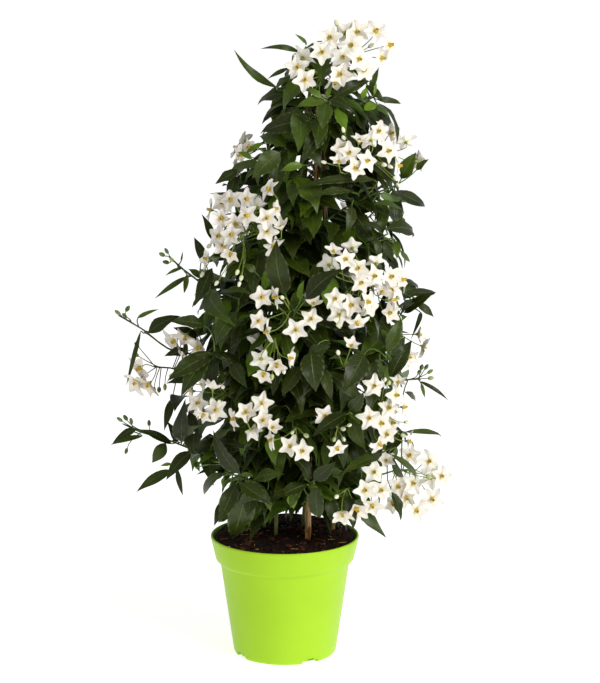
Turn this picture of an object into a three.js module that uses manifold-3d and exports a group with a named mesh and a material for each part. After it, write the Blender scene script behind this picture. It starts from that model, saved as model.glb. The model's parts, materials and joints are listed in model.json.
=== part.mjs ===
// Potted potato vine in full bloom: a 15 cm nursery pot, potting soil, a wigwam of three bamboo
// canes, three climbing main stems, leafy shoots and clusters of white star flowers.
// Millimetres, +Z up, the front faces -Y, the origin is the middle of the pot's underside.

import * as THREE from 'three';
import { mergeVertices } from 'three/addons/utils/BufferGeometryUtils.js';
import Module from 'manifold-3d';

const wasm = await Module();
wasm.setup();

// Driving sizes

const GAP = 0.3;                    // clearance between touching pieces
const TOUCH = 0.0001;
const POT = {
  rimRadius: 75, rimLowerRadius: 69.7, rimTop: 122, rimBottom: 98,
  shoulderRadius: 65.3, shoulder: 94.5, baseRadius: 52, footRadius: 50.6,
  wall: 2.1, floorTop: 4, lip: 1.6, sides: 20,
};
const FOOT = { notches: 4, firstAngle: 30, notchWidth: 18, notchHeight: 3.4, drainWidth: 7, drainTop: 10 };
const SOIL = { edge: 69.8, front: 117, back: 124, mound: 3.5, lump: 1.3 };
const CANE = { foot: 3.1, tip: 2.6, sides: 6, top: 556, bottom: 70 };
const STEM = { radius: 2.1, sides: 5 };
const TWIG = { radius: 1.3 };
const BLADE = { half: 0.33, petiole: 0.5, fold: 0.16, longStalk: 17, longBlade: 46 };
const BLOOM = { radius: 12, notch: 0.52, eye: 1.7, cone: 4.8, back: 2.3, pedicel: 0.6, bend: 6 };
const BUD = { radius: 2.1, length: 7.5, belly: 0.45 };
const ROOTS = {                     // places along a twig that leaves or flowers grow from
  leaf: { spacing: 9, reach: 1 }, bloom: { spacing: 4.2, reach: 9 }, turning: 6, tries: 24, fork: 9,
};
const CLEARANCE = 0.9;              // between the balls that fill two nodes

// The viewpoint that the sideways places below are seen from, and the plant's own outline

const VIEW = { distance: 2500, height: 818, across: 15.3, pitch: 11.26, focal: 2561, midU: 300, midV: 341.5 };
const ENVELOPE = [                  // height, centre across, radius of the leafy outline
  [110, 0, 45], [130, 0, 60], [175, 8, 100], [230, 12, 115], [320, 16, 118], [400, 22, 106],
  [465, 28, 98], [520, 38, 70], [560, 44, 60], [600, 48, 46], [645, 52, 12],
];

const radians = (degrees) => degrees * Math.PI / 180;
const vec = (x, y, z) => new THREE.Vector3(x, y, z);
const mix = (a, b, t) => a + (b - a) * t;

// A point at the sideways place (u, v) of the view, this far in front of the plant's middle plane
function sight(u, v, near) {
  const sin = Math.sin(radians(VIEW.pitch));
  const cos = Math.cos(radians(VIEW.pitch));
  const slope = (v - VIEW.midV) / VIEW.focal;
  const away = VIEW.distance - near;
  const drop = away * (sin + slope * cos) / (cos - slope * sin);
  const depth = away * cos + drop * sin;
  return vec(VIEW.across + (u - VIEW.midU) * depth / VIEW.focal, -near, VIEW.height - drop);
}

function outlineAt(z) {
  const rows = ENVELOPE;
  if (z <= rows[0][0]) return { across: rows[0][1], radius: rows[0][2] };
  for (let i = 1; i < rows.length; i += 1) {
    if (z <= rows[i][0]) {
      const t = (z - rows[i - 1][0]) / (rows[i][0] - rows[i - 1][0]);
      return { across: mix(rows[i - 1][1], rows[i][1], t), radius: mix(rows[i - 1][2], rows[i][2], t) };
    }
  }
  return { across: rows.at(-1)[1], radius: rows.at(-1)[2] };
}

// The same place, on the plant's rounded outline or this deep under it
function onOutline(u, v, inset = 0) {
  let near = 60;
  for (let i = 0; i < 60; i += 1) {
    const p = sight(u, v, near);
    const outline = outlineAt(p.z);
    const radius = Math.max(outline.radius - inset, 5);
    const reach = radius * radius - (p.x - outline.across) ** 2;
    near = 0.5 * near + 0.5 * Math.sqrt(Math.max(reach, 0));
  }
  return sight(u, v, near);
}

const outward = (p) => vec(p.x - outlineAt(p.z).across, p.y, 0).normalize();

// A repeatable stream of numbers from 0 to 1
function stream(seed) {
  let state = (Math.imul(seed + 11, 2654435761) >>> 0);
  const next = () => {
    state = (Math.imul(state, 1664525) + 1013904223) >>> 0;
    return state / 4294967296;
  };
  next();
  next();
  return { next, spread: (amount) => (next() * 2 - 1) * amount };
}

// What already fills the space, as small balls, so that later pieces are bent clear of it

const CELL = 12;
const filled = new Map();
const cellKey = (x, y, z) => `${Math.floor(x / CELL)},${Math.floor(y / CELL)},${Math.floor(z / CELL)}`;

function fill(balls, node) {
  for (const ball of balls) {
    const key = cellKey(ball.p.x, ball.p.y, ball.p.z);
    if (!filled.has(key)) filled.set(key, []);
    filled.get(key).push({ ...ball, node });
  }
}

// True where the balls clear all other nodes
function isClear(balls, node) {
  for (const { p, r } of balls) {
    for (let i = -1; i <= 1; i += 1) {
      for (let j = -1; j <= 1; j += 1) {
        for (let k = -1; k <= 1; k += 1) {
          const near = filled.get(cellKey(p.x + i * CELL, p.y + j * CELL, p.z + k * CELL)) ?? [];
          for (const other of near) {
            const apart = r + other.r + CLEARANCE;
            if (other.node !== node && p.distanceToSquared(other.p) < apart * apart) return false;
          }
        }
      }
    }
  }
  return true;
}

function ballsAlong(points, radius, step, skip = 0) {
  const balls = [];
  let walked = 0;
  for (let i = 1; i < points.length; i += 1) {
    const length = points[i].distanceTo(points[i - 1]);
    const count = Math.max(1, Math.ceil(length / step));
    for (let k = 0; k <= count; k += 1) {
      if (walked + length * k / count < skip) continue;
      balls.push({ p: points[i - 1].clone().lerp(points[i], k / count), r: radius });
    }
    walked += length;
  }
  return balls;
}

// Solids

function toSolid(geometry) {
  const bare = geometry.index ? geometry.toNonIndexed() : geometry.clone();
  bare.deleteAttribute('normal');
  bare.deleteAttribute('uv');
  const merged = mergeVertices(bare, 1e-4);
  return new wasm.Manifold(new wasm.Mesh({
    numProp: 3,
    vertProperties: new Float32Array(merged.attributes.position.array),
    triVerts: new Uint32Array(merged.index.array),
  }));
}

function fromSolid(solid) {
  const mesh = solid.getMesh();
  const geometry = new THREE.BufferGeometry();
  geometry.setAttribute('position', new THREE.BufferAttribute(new Float32Array(mesh.vertProperties), 3));
  geometry.setIndex(new THREE.BufferAttribute(new Uint32Array(mesh.triVerts), 1));
  geometry.computeVertexNormals();
  return geometry;
}

// A closed solid from corner points and triangles, turned right side out
function facets(points, triangles) {
  let volume = 0;
  for (const [a, b, c] of triangles) {
    volume += points[a].dot(points[b].clone().cross(points[c]));
  }
  const order = volume < 0 ? ([a, b, c]) => [a, c, b] : (triangle) => triangle;
  const geometry = new THREE.BufferGeometry();
  const places = new Float32Array(points.flatMap((p) => [p.x, p.y, p.z]));
  geometry.setAttribute('position', new THREE.BufferAttribute(places, 3));
  geometry.setIndex(triangles.flatMap(order));
  return toSolid(geometry);
}

// A way straight from each point to the next, which keeps its corners
class Route extends THREE.Curve {
  constructor(points) {
    super();
    this.points = points;
  }

  getPoint(t, target = new THREE.Vector3()) {
    const spot = t * (this.points.length - 1);
    const i = Math.min(Math.floor(spot), this.points.length - 2);
    return target.copy(this.points[i]).lerp(this.points[i + 1], spot - i);
  }

  getPointAt(u, target) {
    return this.getPoint(u, target);
  }

  getTangentAt(u, target) {
    return this.getTangent(u, target);
  }
}

// A tube through the given points
function tube(points, radius, sides) {
  const shape = new THREE.Shape();
  for (let i = 0; i < sides; i += 1) {
    const angle = (i + 0.5) / sides * 2 * Math.PI;
    const x = radius * Math.cos(angle);
    const y = radius * Math.sin(angle);
    if (i === 0) shape.moveTo(x, y);
    else shape.lineTo(x, y);
  }
  shape.closePath();
  const extrudePath = new Route(points);
  const steps = points.length - 1;
  return toSolid(new THREE.ExtrudeGeometry(shape, { steps, extrudePath, bevelEnabled: false }));
}

// Two directions square to `axis`
function across(axis, hint = vec(0, 0, 1)) {
  const first = hint.clone().addScaledVector(axis, -hint.dot(axis));
  if (first.length() < 0.05) first.set(1, 0.2, 0).addScaledVector(axis, -axis.x);
  first.normalize();
  return [first, axis.clone().cross(first).normalize()];
}

// The direction halfway between the way to a point and the way on from it
function bisector(before, point, after) {
  const way = vec(0, 0, 0);
  if (before) way.add(point.clone().sub(before).normalize());
  if (after) way.add(after.clone().sub(point).normalize());
  return way.normalize();
}

// A leaf: narrow at its petiole, widest at a third of its length, folded along the midrib,
// arched, and pointed at the tip
function leafFrame(leaf) {
  const along = leaf.tip.clone().sub(leaf.base);
  const length = along.length();
  along.normalize();
  const side = along.clone().cross(leaf.face).normalize();
  const face = side.clone().cross(along).normalize();
  const at = (t, s) => {
    const lift = face.clone().multiplyScalar(leaf.arch * length * 4 * t * (1 - t) + BLADE.fold * Math.abs(s));
    return leaf.base.clone().addScaledVector(along, t * length).addScaledVector(side, s).add(lift);
  };
  return { along, side, face, length, at };
}

function leafWidthAt(t) {
  const widest = 0.36;
  return t < widest ? Math.sin(Math.PI / 2 * t / widest)
    : Math.cos(Math.PI / 2 * (t - widest) / (1 - widest));
}

function leafBalls(leaf) {
  const { at, length } = leafFrame(leaf);
  const rows = Math.max(3, Math.round(length / 5));
  const balls = [];
  for (let i = 1; i <= rows; i += 1) {
    const t = i / rows;
    const half = leaf.width / 2 * leafWidthAt(t);
    const columns = Math.max(1, Math.round(half / 2.4));
    for (let k = -columns; k <= columns; k += 1) balls.push({ p: at(t, half * k / columns), r: 2.3 });
  }
  return balls;
}

// A flower: five pointed petals round a cone of anthers, on a thin pedicel
function bloomPoints(bloom) {
  const [u, w] = across(bloom.face);
  const place = (angle, radius, lift) => bloom.centre.clone()
    .addScaledVector(u, radius * Math.cos(angle))
    .addScaledVector(w, radius * Math.sin(angle))
    .addScaledVector(bloom.face, lift);
  return place;
}

function bloomBalls(bloom) {
  const place = bloomPoints(bloom);
  const balls = [{ p: bloom.centre.clone(), r: 2.6 }, { p: place(0, 0, BLOOM.cone - 1), r: 1.5 },
    { p: place(0, 0, -BLOOM.back * 1.7), r: 1.2 }];
  for (let i = 0; i < 5; i += 1) {
    const angle = bloom.spin + i * 2 * Math.PI / 5;
    for (const share of [0.35, 0.62, 0.92]) {
      balls.push({ p: place(angle, bloom.radius * share, bloom.cup * share), r: share > 0.9 ? 1.3 : 2.2 });
    }
  }
  return balls;
}

function bloomStalk(bloom) {
  const back = bloom.centre.clone().addScaledVector(bloom.face, -BLOOM.back);
  const straight = back.clone().sub(bloom.root).normalize();
  if (straight.dot(bloom.face) > 0.6) return [back, bloom.root];
  return [back, bloom.centre.clone().addScaledVector(bloom.face, -BLOOM.bend), bloom.root];
}

// True where an edge of one triangle goes through the other
function cross(one, two) {
  const pierces = (edges, [a, b, c]) => edges.some((from, i) => {
    const to = edges[(i + 1) % 3];
    const length = from.distanceTo(to);
    const ray = new THREE.Ray(from, to.clone().sub(from).divideScalar(length));
    const hit = ray.intersectTriangle(a, b, c, false, new THREE.Vector3());
    if (!hit) return false;
    const reached = hit.distanceTo(from);
    return reached > TOUCH && reached < length - TOUCH;
  });
  return pierces(one, two) || pierces(two, one);
}

// The skin of one spray: a three-sided twig with leaves, flowers and buds drawn out of its facets
class Spray {
  // With `bare`, only the facets that are already in use are drawn as bearing ones
  constructor({ twigs: [main, ...side], bearing: [places, ...sidePlaces] }, bare = false) {
    this.points = [];
    this.faces = [];
    this.boxes = [];
    this.sites = [];
    this.isBearing = ({ used }) => used || !bare;
    const forks = side.map((twig) => ({ at: lengthTo(main, twig[0]), half: 2, used: true }));
    this.twig(main, [...places, ...forks]);
    side.forEach((twig, i) => {
      const [site] = this.nearest(twig[1], twig[0]);
      site.free = false;
      this.twig(twig, sidePlaces[i], this.foot(site, twig[1]).ring);
    });
  }

  add(points) {
    return points.map((p) => this.points.push(p) - 1);
  }

  // Three points round a centre, the first on the side of `guide`
  ring(centre, axis, radius, guide) {
    const [u, w] = across(axis, guide);
    return this.add([0, 1, 2].map((i) => centre.clone()
      .addScaledVector(u, radius * Math.cos(i * 2 * Math.PI / 3))
      .addScaledVector(w, radius * Math.sin(i * 2 * Math.PI / 3))));
  }

  guide(ring, centre) {
    return this.points[ring[0]].clone().sub(centre);
  }

  middle(ring) {
    return ring.reduce((sum, i) => sum.add(this.points[i]), vec(0, 0, 0)).divideScalar(ring.length);
  }

  // The wall between two rings of as many points; at a place, its facets can bear leaves or flowers
  wall(from, to, place) {
    from.forEach((a, i) => {
      const j = (i + 1) % from.length;
      for (const corners of [[a, from[j], to[j]], [a, to[j], to[i]]]) {
        if (place) this.bear(corners, place);
        else this.cover(corners);
      }
    });
  }

  bear(corners, place) {
    const [a, b, c] = corners.map((i) => this.points[i]);
    const normal = b.clone().sub(a).cross(c.clone().sub(a)).normalize();
    const box = new THREE.Box3().setFromPoints([a, b, c]);
    this.sites.push({ corners, centre: this.middle(corners), normal, place, box, free: true });
  }

  cover(...triangles) {
    for (const corners of triangles) {
      this.faces.push(corners);
      this.boxes.push(new THREE.Box3().setFromPoints(corners.map((i) => this.points[i])));
    }
  }

  // The free facets, best first: near the root that is asked for, or those with the easiest way
  nearest(goal, root) {
    const cost = (site) => this.cost(site, goal) + (root ? 4 * site.centre.distanceTo(root) : 0);
    return this.sites.filter(({ free }) => free).sort((a, b) => cost(a) - cost(b));
  }

  // Draws a piece out of the first facet from which it crosses nothing, and returns its root
  grow(goal, draw, root, allows = () => true) {
    const before = [this.points.length, this.faces.length];
    for (const site of this.nearest(goal, root).slice(0, ROOTS.tries)) {
      if (!allows(site)) continue;
      site.free = false;
      draw(site);
      if (!this.crosses(before[1])) {
        if (site.place) site.place.used = true;
        return site.centre;
      }
      site.free = true;
      [this.points.length, this.faces.length] = before;
      this.boxes.length = before[1];
    }
    return null;
  }

  // True where the faces from `first` on cross the rest of the skin or each other
  crosses(first) {
    const triangle = (corners) => corners.map((i) => this.points[i]);
    const open = this.sites.filter(({ free }) => free);
    for (let i = first; i < this.faces.length; i += 1) {
      const piece = triangle(this.faces[i]);
      for (let k = 0; k < i; k += 1) {
        if (this.boxes[i].intersectsBox(this.boxes[k]) && cross(piece, triangle(this.faces[k]))) return true;
      }
      for (const { box, corners } of open) {
        if (this.boxes[i].intersectsBox(box) && cross(piece, triangle(corners))) return true;
      }
    }
    return false;
  }

  // What it costs to grow from a facet to a goal: the way there, and more where it faces aside
  cost(site, goal) {
    const way = goal.clone().sub(site.centre);
    const length = way.length();
    return length + ROOTS.turning * (1 - site.normal.dot(way) / length);
  }

  // The ring that a stalk goes on from: the facet's corners, or a short bent foot on them
  foot(site, goal) {
    const onward = goal.clone().sub(site.centre).normalize();
    if (site.normal.dot(onward) > 0.4) return { ring: site.corners, centre: site.centre };
    const centre = site.centre.clone().addScaledVector(site.normal, 1.7).addScaledVector(onward, 0.8);
    const shift = centre.clone().sub(site.centre);
    const ring = this.add(site.corners.map((i) => this.points[i].clone().lerp(site.centre, 0.45).add(shift)));
    this.wall(site.corners, ring);
    return { ring, centre };
  }

  // A twig through its corners, whose facets round each place can bear leaves or flowers
  twig(points, places, start) {
    const corners = points.map((p) => lengthTo(points, p));
    const marks = places.flatMap(({ at, half }) => [at - half, at + half])
      .filter((mark) => corners.every((corner) => Math.abs(mark - corner) > 1));
    const cuts = [...corners, ...marks].sort((one, two) => one - two)
      .filter((at, i, sorted) => i === 0 || at - sorted[i - 1] > 0.1);
    const spots = cuts.map((at) => pointAlong(points, at));
    const bearing = places.filter(this.isBearing);
    let last = start && { ring: start, at: 0 };
    let guide = start ? this.guide(start, this.middle(start)) : vec(0.3, 0.2, 1);
    cuts.forEach((cut, i) => {
      const axis = bisector(spots[i - 1], spots[i], spots[i + 1]);
      [guide] = across(axis, guide);
      const edges = bearing.some(({ at, half }) => Math.abs(Math.abs(cut - at) - half) < 0.1);
      if ((i === 0 && start) || !(edges || corners.includes(cut))) return;
      const ring = this.ring(spots[i], axis, TWIG.radius, guide);
      const place = last && bearing.find(({ at, half }) => Math.abs(at - (cut + last.at) / 2) < half);
      if (last) this.wall(last.ring, ring, place);
      else this.cover([ring[0], ring[2], ring[1]]);
      last = { ring, at: cut };
    });
    this.bear(last.ring);
  }

  // A thin stalk from a facet through the given places
  stalk(site, places, lastAxis) {
    let { ring, centre: before } = this.foot(site, places[0]);
    places.forEach((place, i) => {
      const axis = bisector(before, place, places[i + 1]);
      if (i === places.length - 1 && lastAxis) axis.copy(lastAxis);
      const to = this.ring(place, axis, BLOOM.pedicel, this.guide(ring, before));
      this.wall(ring, to);
      ring = to;
      before = place;
    });
    return ring;
  }

  bloom(bloom, site) {
    const places = bloomStalk(bloom).slice(0, -1).reverse();
    const back = this.stalk(site, places, bloom.face);
    const place = bloomPoints(bloom);
    const pitch = 2 * Math.PI / 5;
    const [u, w] = across(bloom.face);
    const guide = this.guide(back, places.at(-1));
    const turn = Math.atan2(guide.dot(w), guide.dot(u)) + Math.PI * 2;
    const first = Math.round((turn - bloom.spin) / pitch * 2);
    const rim = [];
    for (let i = 0; i < 10; i += 1) {
      const angle = bloom.spin + (first + i) * pitch / 2;
      const tip = (first + i) % 2 === 0;
      rim.push(place(angle, bloom.radius * (tip ? 1 : BLOOM.notch), bloom.cup * (tip ? 1 : 0.25)));
    }
    const edge = this.add(rim);
    for (let i = 0; i < 3; i += 1) {
      const from = Math.round(i * 10 / 3);
      const to = Math.round((i + 1) * 10 / 3);
      for (let k = from; k < to; k += 1) this.cover([back[i], edge[(k + 1) % 10], edge[k % 10]]);
      this.cover([back[i], back[(i + 1) % 3], edge[to % 10]]);
    }
    const tips = edge.filter((_, i) => (first + i) % 2 === 0);
    const firstTip = (first % 2 === 0 ? 0 : 1);
    const angle = (i) => bloom.spin + (first + firstTip + 2 * i) * pitch / 2;
    const eye = this.add(tips.map((_, i) => place(angle(i), BLOOM.eye, 0.7)));
    const [apex] = this.add([place(0, 0, BLOOM.cone)]);
    for (let i = 0; i < 5; i += 1) {
      const tip = edge[(firstTip + 2 * i) % 10];
      const notch = edge[(firstTip + 2 * i + 1) % 10];
      const nextTip = edge[(firstTip + 2 * i + 2) % 10];
      const nextEye = eye[(i + 1) % 5];
      this.cover([tip, notch, eye[i]], [notch, nextTip, nextEye]);
      this.cover([notch, nextEye, eye[i]], [eye[i], nextEye, apex]);
    }
  }

  bud(bud, site) {
    const axis = bud.tip.clone().sub(bud.root).normalize();
    const neck = bud.tip.clone().addScaledVector(axis, -BUD.length);
    const belly = bud.tip.clone().addScaledVector(axis, -BUD.length * BUD.belly);
    const ring = this.stalk(site, [neck]);
    const round = this.ring(belly, axis, BUD.radius, this.guide(ring, neck));
    this.wall(ring, round);
    const [tip] = this.add([bud.tip]);
    round.forEach((a, i) => this.cover([a, round[(i + 1) % 3], tip]));
  }

  // A leaf: a keeled petiole, then a thin blade folded along its midrib, with a pointed tip
  leaf(leaf, site) {
    const { side, face, length, at } = leafFrame(leaf);
    const foot = this.foot(site, leaf.base).ring;
    const depth = foot.map((i) => this.points[i].dot(face));
    const keel = depth.indexOf(Math.min(...depth));
    let ring = [foot[(keel + 2) % 3], foot[keel], foot[(keel + 1) % 3]];
    if (leaf.base.distanceTo(leaf.root) > BLADE.longStalk) {
      const next = this.add([leaf.base.clone().addScaledVector(side, BLADE.petiole),
        leaf.base.clone().addScaledVector(face, -BLADE.petiole * 1.4),
        leaf.base.clone().addScaledVector(side, -BLADE.petiole)]);
      this.wall(ring, next);
      ring = next;
    }
    const stations = length > BLADE.longBlade ? [[0.36, 1], [0.72, 0.62]] : [[0.42, 1]];
    const rims = stations.map(([t, share]) => {
      const half = leaf.width / 2 * share;
      const up = face.clone().multiplyScalar(BLADE.half);
      const upper = [at(t, half), at(t, 0), at(t, -half)].map((p) => p.add(up));
      const under = upper.map((p) => p.clone().addScaledVector(up, -2));
      return this.add([upper[0], under[0], under[1], under[2], upper[2], upper[1]]);
    });
    const [right, low, left] = ring;
    const b = rims[0];
    this.cover([right, b[1], b[0]], [right, low, b[1]], [low, b[2], b[1]], [low, b[3], b[2]]);
    this.cover([low, left, b[3]], [left, b[4], b[3]], [left, b[5], b[4]]);
    this.cover([left, right, b[5]], [right, b[0], b[5]]);
    if (rims.length === 2) {
      const c = rims[1];
      for (let i = 0; i < 6; i += 1) {
        const j = (i + 1) % 6;
        if (i === 1 || i === 2) this.cover([b[i], b[j], c[i]], [b[j], c[j], c[i]]);
        else this.cover([b[i], b[j], c[j]], [b[i], c[j], c[i]]);
      }
    }
    const [tip] = this.add([at(1, 0)]);
    const end = rims.at(-1);
    end.forEach((a, i) => this.cover([a, end[(i + 1) % 6], tip]));
  }

  solid() {
    const open = this.sites.filter(({ free }) => free).map(({ corners }) => corners);
    return facets(this.points, [...this.faces, ...open]);
  }
}

// Pot and soil

function innerRadius(z) {
  const rows = [[POT.floorTop, POT.baseRadius - POT.wall], [POT.shoulder, POT.shoulderRadius - POT.wall],
    [POT.rimTop, POT.rimRadius - POT.wall]];
  for (let i = 1; i < rows.length; i += 1) {
    const t = (z - rows[i - 1][0]) / (rows[i][0] - rows[i - 1][0]);
    if (t <= 1) return mix(rows[i - 1][1], rows[i][1], t);
  }
  return rows.at(-1)[1];
}

function potSolid() {
  const profile = [
    [0, 0], [POT.footRadius, 0], [POT.baseRadius, 2.5],
    [POT.shoulderRadius, POT.shoulder], [POT.rimLowerRadius, POT.rimBottom],
    [POT.rimRadius, POT.rimTop - POT.lip], [POT.rimRadius - 0.5, POT.rimTop],
    [innerRadius(POT.rimTop), POT.rimTop], [innerRadius(POT.shoulder), POT.shoulder],
    [innerRadius(POT.floorTop), POT.floorTop], [0, POT.floorTop],
  ].map(([radius, height]) => new THREE.Vector2(radius, height));
  const turned = new THREE.LatheGeometry(profile, POT.sides);
  turned.rotateX(Math.PI / 2);
  let solid = toSolid(turned);
  if (solid.volume() < 0) throw new Error('the pot is inside out');
  for (let i = 0; i < FOOT.notches; i += 1) {
    const turn = radians(FOOT.firstAngle - 90 + i * 360 / FOOT.notches);
    for (const [width, top] of [[FOOT.notchWidth, FOOT.notchHeight], [FOOT.drainWidth, FOOT.drainTop]]) {
      const cutter = new THREE.BoxGeometry(16, width, top + 1);
      cutter.translate(51.5, 0, (top + 1) / 2 - 1);
      cutter.rotateZ(turn);
      solid = solid.subtract(toSolid(cutter));
    }
  }
  return solid;
}

// The soil's surface: higher at the back, with a low mound and small lumps
function soilHeight(x, y) {
  const share = Math.hypot(x, y) / SOIL.edge;
  const slope = mix(SOIL.front, SOIL.back, (y / SOIL.edge + 1) / 2);
  const mound = SOIL.mound * Math.cos(Math.min(share, 1) * Math.PI / 2);
  const lumps = SOIL.lump * Math.sin(x * 0.13 + 1) * Math.cos(y * 0.17 - x * 0.05);
  return slope + mound + lumps;
}

function soilSolid() {
  const foot = POT.floorTop + GAP;
  const above = POT.rimTop * 2;     // marks the surface points until their own height is set
  const profile = [
    [0, foot], [innerRadius(foot) - GAP, foot], [innerRadius(POT.shoulder) - GAP, POT.shoulder],
    [SOIL.edge, above], [SOIL.edge * 0.6, above], [0, above],
  ].map(([radius, height]) => new THREE.Vector2(radius, height));
  const turned = new THREE.LatheGeometry(profile, POT.sides);
  turned.rotateX(Math.PI / 2);
  const places = turned.attributes.position;
  for (let i = 0; i < places.count; i += 1) {
    if (places.getZ(i) > above - 1) places.setZ(i, soilHeight(places.getX(i), places.getY(i)));
  }
  return toSolid(turned);
}

// Canes and main stems

const CANES = [
  { name: 'bamboo_cane_front', foot: [23, -18], tip: [33, -7] },
  { name: 'bamboo_cane_right', foot: [48, 20], tip: [37.5, 5] },
  { name: 'bamboo_cane_left', foot: [-37, 14], tip: [26, 5.5] },
];
const caneAt = (cane, z) => {
  const t = (z - 121) / (CANE.top - 121);
  return vec(mix(cane.foot[0], cane.tip[0], t), mix(cane.foot[1], cane.tip[1], t), z);
};

function caneSolid(cane, extra = 0, bottom = CANE.bottom) {
  const from = caneAt(cane, bottom);
  const to = caneAt(cane, CANE.top);
  const length = from.distanceTo(to);
  const round = new THREE.CylinderGeometry(CANE.tip + extra, CANE.foot + extra, length, CANE.sides);
  const turn = new THREE.Quaternion().setFromUnitVectors(vec(0, 1, 0), to.clone().sub(from).normalize());
  round.applyQuaternion(turn);
  const middle = from.clone().lerp(to, 0.5);
  round.translate(middle.x, middle.y, middle.z);
  return toSolid(round);
}

const MAIN_STEMS = [
  { name: 'main_stem_front', path: [[-10, -10, 84], [-9, -11, 125], [-8, -13, 150], [-13, -15, 220],
      [-6, -20, 300], [6, -22, 380], [14, -14, 460], [20, -5, 530], [27, -3, 585]] },
  { name: 'main_stem_right', path: [[16, 16, 84], [18, 19, 125], [26, 14, 220], [30, 5, 310],
      [23, 14, 400], [18, 17, 470], [25, 16, 540], [31, 14, 575]] },
  { name: 'main_stem_left', path: [[-20, 12, 84], [-21, 14, 125], [-23, 20, 170], [-18, 20, 260],
      [-10, 20, 350], [-3, 15, 430], [8, 9, 500], [15, 9, 555]] },
];
for (const stem of MAIN_STEMS) stem.points = stem.path.map(([x, y, z]) => vec(x, y, z));

function stemAt(stem, z) {
  const { points } = stem;
  for (let i = 1; i < points.length; i += 1) {
    if (z <= points[i].z || i === points.length - 1) {
      const t = (z - points[i - 1].z) / (points[i].z - points[i - 1].z);
      return points[i - 1].clone().lerp(points[i], Math.min(t, 1));
    }
  }
  return points.at(-1).clone();
}

// A twig's way from a main stem to its first place: the shortest that clears what is there
function rootedPath(points, node) {
  const first = points[0];
  for (const fall of [34, 46, 22, 58, 70, 10, 84]) {
    const stems = [...MAIN_STEMS].sort((a, b) => (
      stemAt(a, first.z - fall).distanceTo(first) - stemAt(b, first.z - fall).distanceTo(first)));
    for (const stem of stems) {
      const height = Math.min(Math.max(first.z - fall, 128), stem.points.at(-1).z - 6);
      const middle = stemAt(stem, height);
      const away = first.clone().sub(middle).setZ(0).normalize();
      const root = middle.clone().addScaledVector(away, STEM.radius + 0.35);
      const knee = root.clone().addScaledVector(away, 5).add(vec(0, 0, 1.5));
      const path = [root, knee, ...points];
      if (isClear(ballsAlong(path, TWIG.radius + 0.4, 3, 4), node)) return path;
    }
  }
  throw new Error(`no clear way for twig ${node}`);
}

// Flower clusters: `hubs` are places where pedicels part, [across, up, depth under the outline];
// `blooms` are flowers as seen from the front, with the way they turn where it isn't outward;
// `more` is how many stand round the hubs where the front view doesn't show them

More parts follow.
